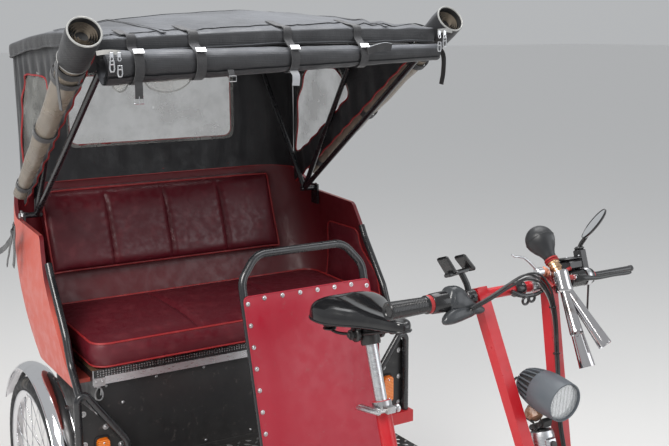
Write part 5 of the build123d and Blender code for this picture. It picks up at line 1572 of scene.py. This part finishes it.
for ring, (along, r) in enumerate(((long - 0.04, 0.004), (long - 0.036, 0.012), (long - 0.028, 0.021),
                                   (long - 0.018, 0.029), (long - 0.0095, 0.035))):
    facets = circle(lamp_back + lamp_run * along, lx, ly, r, 24)
    rows.append([p + lamp_run * (0.0008 * ((k + ring) % 2)) for k, p in enumerate(facets)])
reflector.grid(rows, False, True, caps=True)
reflector.turned([(long - 0.038, 0), (long - 0.038, 0.005), (long - 0.026, 0.005), (long - 0.022, 0.003),
                  (long - 0.022, 0)], lamp_back, lamp_run, 16)
piece("lamp_reflector", "steering", "white_reflector", reflector, 12)
glass.turned([(long + 0.0002, 0), (long - 0.0002, 0.018), (long - 0.0016, 0.03), (long - 0.0042, 0.0355),
              (long - 0.0072, 0.0356), (long - 0.0058, 0.03), (long - 0.004, 0.018), (long - 0.0034, 0)],
             lamp_back, lamp_run, 56)
for k in range(-3, 4):
    h = 0.009 * k
    w = sqrt(0.034 ** 2 - h * h)
    glass.tube([lamp_back + lamp_run * (long - 0.004) + lx * h + ly * (w * t) for t in (-1, -0.5, 0, 0.5, 1)],
               0.0009, 6)
piece("lamp_glass", "steering", "lens_clear", glass, 40, ["lamp_lens"])
stand = Form()
stand.block(on_steer(-10, 0, -226), (0.03, 0.028, 0.034), steer_turn @ Matrix.Rotation(radians(-24), 3, "Y"),
            0.007)
stand.turned([(-0.0165, 0), (-0.0165, 0.0085), (-0.0145, 0.0105), (0.0145, 0.0105), (0.0165, 0.0085),
              (0.0165, 0)], on_steer(-12, 0, -226), (0, 1, 0), 24)
for side in (-1, 1):
    stand.bolt(on_steer(-12, side * 16, -226), (0, side, 0), 0.0048, 0.004)
piece("lamp_mount_barrel", "steering", "copper_tone", stand)
strut = Form()
strut.block(on_steer(0, 0, -251), (0.034, 0.034, 0.012), steer_turn @ Matrix.Rotation(radians(-12), 3, "Y"),
            0.003)
strut.block(on_steer(18, 0, -246), (0.012, 0.026, 0.018), steer_turn @ Matrix.Rotation(radians(24), 3, "Y"),
            0.003)
strut.bolt(on_steer(20, -13, -246), (0, -1, 0), 0.0045, 0.005)
strut.bolt(on_steer(4, -17, -252), (0, -1, 0), 0.0045, 0.005)
strut.turned([(0, 0), (0, 0.007), (0.004, 0.0065), (0.0045, 0)], on_steer(27.8, 0, -288), steer_x, 20)
strut.tube(curve([lamp_back + lamp_run * 0.004, lamp_back + Vector((-0.014, -0.004, -0.004)),
                  lamp_back + Vector((-0.02, -0.01, -0.03)), lamp_back + Vector((-0.004, -0.012, -0.064)),
                  on_steer(-4, -12, -244)], 6), 0.0024, 8)
piece("lamp_strut", "steering", "black_paint", strut)
cap = Form()
cap.turned([(0, 0), (0, 0.017), (0.004, 0.0225), (0.012, 0.0245), (0.05, 0.0245), (0.058, 0.0225),
            (0.06, 0.0185), (0.1165, 0.0185), (0.1165, 0)], on_steer(0, 0, -258), -steer_z, 40)
cap.block(on_steer(20, 0, -288), (0.016, 0.026, 0.03), steer_turn, 0.005)
piece("stem_cap", "steering", "aluminium", cap, 38, ["stem"])

# Weld beads and bolts on the fork, risers and frame
welds = Form()


def bead(form, at, direction, radius, thick=0.0024, count=40):
    """A weld's seam round a tube."""
    x, y, z = basis(direction)
    line = []
    for k in range(count):
        a = 2 * pi * k / count
        line.append(Vector(at) + (x * cos(a) + y * sin(a)) * (radius + 0.0006 * (k % 2))
                    + z * 0.0005 * ((k % 2) * 2 - 1))
    form.tube(line, thick, 6, closed=True)


# Heights up the steering axis, in millimetres
axle_up = (Vector((front_axle.x, 0, front_axle.z)) - on_steer(0, 0, 0)).dot(steer_z) * 1000
head_low = axle_up + wheel_radius * 1000 + 45 + 37
head_high = head_low + 153

joins = [(on_steer(0, 0, head_low + 45), bracket, 0.022, 0.024, 0.027),
         (on_steer(0, 0, head_high - 32), on_seat(0.56), 0.016, 0.024, 0.024),
         (bracket, on_seat(0.795), 0.0195, 0.026, 0.002)]
for start, end, radius, near_by, far_by in joins:
    run = (end - start).normalized()
    bead(welds, start + run * near_by, run, radius)
    bead(welds, end - run * far_by, run, radius)
for side in (-1, 1):
    for x in (0.45, -0.16, 0.9):
        for shift_x in (-0.02, 0.02):
            welds.tube([spot(x + shift_x, side * 0.25, 0.401 + 0.0045 * k) for k in range(9)], 0.0022, 6)
piece("frame_welds", "chassis", "red_tube", welds)
head = Form()
for at in (head_low - 1, head_high + 1):
    head.turned([(-0.003, 0.0165), (-0.003, 0.0235), (-0.001, 0.0245), (0.001, 0.0245), (0.003, 0.0235),
                 (0.003, 0.0165)], on_steer(0, 0, at), steer_z, 36)
for side in (-1, 1):
    head.bolt((front_axle.x, side * 0.0715, front_axle.z), (0, side, 0), 0.0085, 0.008)
piece("headset_rings", "steering", "aluminium", head)
riser_bits = Form()
for side in (-1, 1):
    top_at = on_steer(0, side * 91, bar_z + 14)
    riser_bits.block(top_at + steer_z * 0.0002, (0.02, 0.02, 0.0012), steer_turn, 0.0004)
piece("riser_caps", "steering", "red_tube", riser_bits)

# Hoop sheet: rivets, rolled edge and bolted feet
hoop_lean = radians(14.8)
hoop_half = 0.187
hoop_out = Vector((cos(hoop_lean), 0, sin(hoop_lean)))


def on_hoop(y, z, out=0.0):
    return Vector((ahead(0.725) + (1.103 - z) * tan(hoop_lean), y, z)) + hoop_out * out


rivets = Form()
places = [(s * 0.1845, 0.545 + 0.0545 * k) for s in (-1, 1) for k in range(9)]
places += [(-0.135 + 0.054 * k, z) for z in (0.99, 0.532) for k in range(6)]
for y, z in places:
    rivets.turned([(0, 0.0062), (0.0006, 0.0062), (0.0008, 0.0045), (0.0022, 0.0038), (0.003, 0.0022),
                   (0.0032, 0)], on_hoop(y, z, 0.0143), hoop_out, 16)
piece("hoop_rivets", "chassis", "steel", rivets)
edge_line = [on_hoop(y, z, 0.0133) for y, z in rounded(
    [(-0.1935, 0.521), (0.1935, 0.521), (0.1935, 0.999), (-0.1935, 0.999)], 0.014)]
rolled_edge = Form()
rolled_edge.tube(edge_line, 0.0022, 8, closed=True)
piece("hoop_sheet_edge", "chassis", "crimson", rolled_edge)
hoop_bits = Form()
foot_x = on_hoop(0, 0.44).x
for side in (-1, 1):
    for x in (foot_x - 0.014, foot_x + 0.014):
        for aside in (-0.014, 0.014):
            hoop_bits.bolt((x, side * (hoop_half + aside), 0.446), (0, 0, 1), 0.0045, 0.004)
    bead(hoop_bits, on_hoop(side * hoop_half, 0.4475), Vector((-tan(hoop_lean), 0, 1)), 0.0112)
piece("hoop_feet_bolts", "chassis", "black_paint", hoop_bits)

# Front panels: screws, and the direction lamps' seats
panel_x, lens_x = ahead(0.4387), ahead(0.4568)
screws, seats, lamp_screws = Form(), Form(), Form()
for side in (-1, 1):
    for y, z in ((0.532, 0.465), (0.428, 0.465), (0.532, 0.645), (0.428, 0.535), (0.532, 0.555),
                 (0.47, 0.596)):
        screws.turned([(0, 0.0085), (0.001, 0.0085), (0.0012, 0)], (panel_x, side * y, z), (1, 0, 0), 20)
        screws.dome((panel_x + 0.001, side * y, z), (1, 0, 0), 0.0052)
        screws.block((panel_x + 0.0039, side * y, z), (0.0004, 0.0076, 0.0012))
    lamp_y = side * 0.482
    loop = rounded([(lamp_y - 0.022, 0.477), (lamp_y + 0.022, 0.477), (lamp_y + 0.022, 0.571),
                    (lamp_y - 0.022, 0.571)], 0.014)
    seats.grid([[Vector((panel_x + x, y + (y - lamp_y) * g, z + (z - 0.524) * g * 0.4)) for y, z in loop]
                for x, g in ((0.0, 0.02), (0.005, 0.02), (0.0062, -0.02), (0.0062, -0.14))],
               close_columns=True)
    for z in (0.492, 0.556):
        lamp_screws.dome((lens_x, lamp_y, z), (1, 0, 0), 0.003)
        lamp_screws.block((lens_x + 0.0017, lamp_y, z), (0.0004, 0.0044, 0.0008))
piece("panel_screws", "chassis", "steel", screws)
piece("indicator_seats", "chassis", "black_rubber", seats)
piece("indicator_screws", "chassis", "chrome", lamp_screws)

# Lid bar: screwed end plates and a strip of dots; snap hook and screws on the locker
bar_x = ahead(0.4093)
plates, strip = Form(), Form()
for side in (-1, 1):
    plates.block((bar_x + 0.0015, side * 0.472, 0.7185), (0.003, 0.034, 0.026), None, 0.001)
    for aside in (-0.009, 0.009):
        plates.dome((bar_x + 0.003, side * 0.472 + aside, 0.7185), (1, 0, 0), 0.0036)
piece("lid_bar_plates", "bench_lid", "steel", plates)
strip.block((bar_x + 0.0007, 0, 0.7425), (0.0014, 0.975, 0.0205), None, 0.0004)
piece("lid_bar_strip", "bench_lid", "black_plastic", strip)
dots = Form()
dot_profile = [(0, 0.0021), (0.0003, 0.0021), (0.0003, 0.001), (0.0001, 0.001)]
for level, count in ((0, 16), (1, 118), (2, 118)):
    for k in range(count):
        dots.turned(dot_profile, (bar_x + 0.0014, -0.476 + 0.00813 * k, 0.7355 + 0.0068 * level), (1, 0, 0),
                    8)
piece("lid_bar_dots", "bench_lid", "steel", dots)
hook = Form()
front_x = ahead(0.4)
hook_x = front_x + 0.0085
hook.tube([(hook_x, -0.474 + (0.0105 - 0.003 * sin(a)) * cos(a), 0.684 + 0.019 * sin(a))
           for a in (2 * pi * k / 30 for k in range(30))], 0.0023, 8, closed=True)
hook.tube([(hook_x, -0.4665, 0.698), (hook_x, -0.469, 0.679)], 0.0026, 8)
hook.turned([(0, 0), (0, 0.0065), (0.006, 0.0055), (0.009, 0.0035), (0.009, 0)], (front_x, -0.474, 0.704),
            (1, 0, 0), 18)
hook.dome((front_x, -0.403, 0.642), (1, 0, 0), 0.0055)
for k in range(7):
    for z in (0.47, 0.7):
        hook.dome((front_x, -0.45 + 0.15 * k, z), (1, 0, 0), 0.0042)
piece("locker_fittings", "chassis", "steel", hook)
rail_form = Form()
for z in (0.452, 0.722):
    rail_form.block((front_x + 0.0016, 0, z), (0.0034, 0.952, 0.016), None, 0.0008)
piece("locker_edges", "chassis", "black_paint", rail_form)

# Chequered floor
tread = Form()
row = 0
row_pitch, tread_pitch = 0.0235, 0.0325
lozenge = ((0.011, 0), (0.003, 0.0036), (-0.003, 0.0036), (-0.011, 0), (-0.003, -0.0036), (0.003, -0.0036))
x = 0.42
while x < 0.86:
    for k in range(24):
        y = -0.375 + tread_pitch * k + (0.016 if row % 2 else 0)
        under_hoop_foot = abs(abs(y) - hoop_half) < 0.042 and x > 0.845
        if under_hoop_foot:
            continue
        slant = radians(45 if (row + k) % 2 else -45)
        a, b = Vector((cos(slant), sin(slant), 0)), Vector((-sin(slant), cos(slant), 0))
        at = spot(x, y, 0.4452)
        ring = [at + a * along + b * across for along, across in lozenge]
        top = [at + (p - at) * 0.62 + Vector((0, 0, 0.0014)) for p in ring]
        tread.grid([ring, top], False, True)
        tread.add(top, [tuple(range(6))])
    x += row_pitch
    row += 1
piece("floor_treads", "chassis", "chequer", tread, 60)


# Mudguards: rolled edges, bolts over the lugs
def guard_edge(form, middle, reach, y, start, end, count, thick):
    """A rolled edge round a wheel; the angles in degrees count from the top towards the front."""
    angles = (radians(mix(start, end, k / count)) for k in range(count + 1))
    form.tube([middle + Vector((reach * sin(a), y, reach * cos(a))) for a in angles], thick, 8)


guard_middle = Vector((rear_axle.x + 0.012, 0, rear_axle.z + 0.016))
guard_bits, guard_bolts, front_bits = Form(), Form(), Form()
for side in (-1, 1):
    for edge_y in (0.496, 0.568):
        guard_edge(guard_bits, guard_middle, 0.3196, side * edge_y, -61.8, 83.8, 90, 0.0021)
    for degree in (16, 38, 62):
        a = radians(degree)
        out = Vector((sin(a), 0, cos(a)))
        guard_bolts.bolt(guard_middle + out * 0.3265 + Vector((0, side * 0.504, 0)), out, 0.005, 0.0045)
    guard_edge(front_bits, front_axle, 0.3146, side * 0.03, -111.7, 17.7, 80, 0.0018)
    for degree in (-100, 8):
        a = radians(degree)
        front_bits.bolt(front_axle + Vector((0.315 * sin(a), side * 0.0305, 0.315 * cos(a))), (0, side, 0),
                        0.0034, 0.003)
piece("mudguard_edges", "chassis", "chrome", guard_bits)
piece("mudguard_bolts", "chassis", "steel", guard_bolts)
piece("front_guard_edges", "steering", "chrome", front_bits)

# Rear lamps: bright rims and lens rings
rims, rings = Form(), Form()
lamp_low, lamp_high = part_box("rear_lamps")
for side in (-1, 1):
    lamp_y, lamp_z = side * 0.3, 0.6
    rims.turned([(0, 0.0325), (0.001, 0.0345), (0.006, 0.0345), (0.007, 0.0325)],
                (lamp_high.x, lamp_y, lamp_z), (-1, 0, 0), 48)
    for r in (0.009, 0.016, 0.023):
        rings.tube(circle(Vector((lamp_low.x - 0.0002, lamp_y, lamp_z)), Y_AXIS, Z_AXIS, r, 40), 0.0011, 6,
                   closed=True)
piece("rear_lamp_rims", "chassis", "chrome", rims)
piece("rear_lamp_rings", "chassis", "red_lens", rings)

# Hood pivots, shell fixings and hinge screws
fixings = Form()
for side in (-1, 1):
    fixings.bolt(spot(-0.09, side * 0.5303, 1.12), (0, side, 0), 0.01, 0.009)
    for shift_x in (-0.014, 0.014):
        fixings.dome(spot(-0.09 + shift_x, side * 0.5303, 1.072), (0, side, 0), 0.0048)
for k in range(12):
    fixings.dome(spot(-0.108, -0.38 + 0.0691 * k, 0.7545), (0, 0, 1), 0.003)
piece("body_fixings", "chassis", "steel", fixings)

# Ragged ties that hang from the right roll's lower end
roll_tails = Form()
side = -1
# columns: width, direction across, line of (ahead of the datum, height)
tails = [
    (0.018, (0.45, 0, 0.9), [(0, 1.115), (-0.03, 1.07), (-0.095, 1.03), (-0.165, 1.002), (-0.205, 0.985)]),
    (0.013, (0.86, 0, 0.5), [(-0.005, 1.11), (-0.035, 1.06), (-0.07, 1.01), (-0.096, 0.966)]),
    (0.022, (1, 0, 0.1), [(0.004, 1.11), (-0.006, 1.05), (-0.004, 1.015), (-0.014, 0.98)]),
]
for width, run, line in tails:
    places = curve([spot(x, side * (0.5785 + 0.002 * k), z) for k, (x, z) in enumerate(line)], 6)
    places = [p + Vector((0, side * 0.0022 * wobble(p.x * 30, p.z * 30, side), 0)) for p in places]
    roll_tails.ribbon(places, run, width, 0.0018)
piece("roll_tails", "chassis", "webbing", roll_tails)


# Camera at the photograph's place
camera_data = bpy.data.cameras.new("camera")
camera_data.lens = 54.4
camera_data.sensor_width = 36
camera = bpy.data.objects.new("camera", camera_data)
bpy.context.scene.collection.objects.link(camera)
bpy.context.scene.camera = camera
heading = radians(31.59)
pitch = radians(10.844)
looking = Vector((-cos(heading) * cos(pitch), sin(heading) * cos(pitch), -sin(pitch)))
turn = looking.to_track_quat("-Z", "Y").to_matrix().to_4x4() @ Matrix.Rotation(radians(-0.274), 4, "Z")
camera.matrix_world = Matrix.Translation((ahead(3.052), -1.322, 1.685)) @ turn

# Stage, lamps and world
floor_half = 80
floor_data = bpy.data.meshes.new("floor")
corners = [(x * floor_half, y * floor_half, 0) for x, y in ((-1, -1), (1, -1), (1, 1), (-1, 1))]
floor_data.from_pydata(corners, [], [(0, 1, 2, 3)])
floor = bpy.data.objects.new("floor", floor_data)
bpy.context.scene.collection.objects.link(floor)
Shade("floor").set({"Base Color": (0.7, 0.69, 0.67), "Roughness": 0.9})
floor_data.materials.append(looks["floor"])

world = bpy.data.worlds.new("studio")
bpy.context.scene.world = world
sky = Tree(world)
lit, seen = (0.6, 0.62, 0.65), (0.46, 0.47, 0.48)
direct = sky.math_of("ADD", sky.node("LightPath", "Is Camera Ray"), sky.node("LightPath", "Is Glossy Ray"),
                     True)
through = sky.math_of("ADD", sky.node("LightPath", "Is Transmission Ray"), direct, True)
sky.feed(sky.nodes["Background"].inputs["Color"], sky.blend(through, lit, seen))
sky.feed(sky.nodes["Background"].inputs["Strength"], 1.0)


def area_lamp(name, place, target, size, power, tint=(1, 1, 1)):
    data = bpy.data.lights.new(name, "AREA")
    data.shape = "RECTANGLE"
    data.size = size[0]
    data.size_y = size[1]
    data.energy = power
    data.color = tint
    obj = bpy.data.objects.new(name, data)
    bpy.context.scene.collection.objects.link(obj)
    aim = (Vector(target) - Vector(place)).to_track_quat("-Z", "Y").to_matrix().to_4x4()
    obj.matrix_world = Matrix.Translation(place) @ aim


area_lamp("key", (1.4, -3.0, 3.9), (0, 0, 0.8), (2.0, 2.0), 158, (1, 0.98, 0.95))
area_lamp("fill", (3.4, 2.6, 2.2), (0, 0, 0.8), (3, 3), 46, (0.95, 0.97, 1))
area_lamp("top", (-0.6, 0.6, 4.2), (-0.3, 0, 1), (2.6, 2.6), 80)

bpy.context.scene.view_settings.view_transform = "Standard"
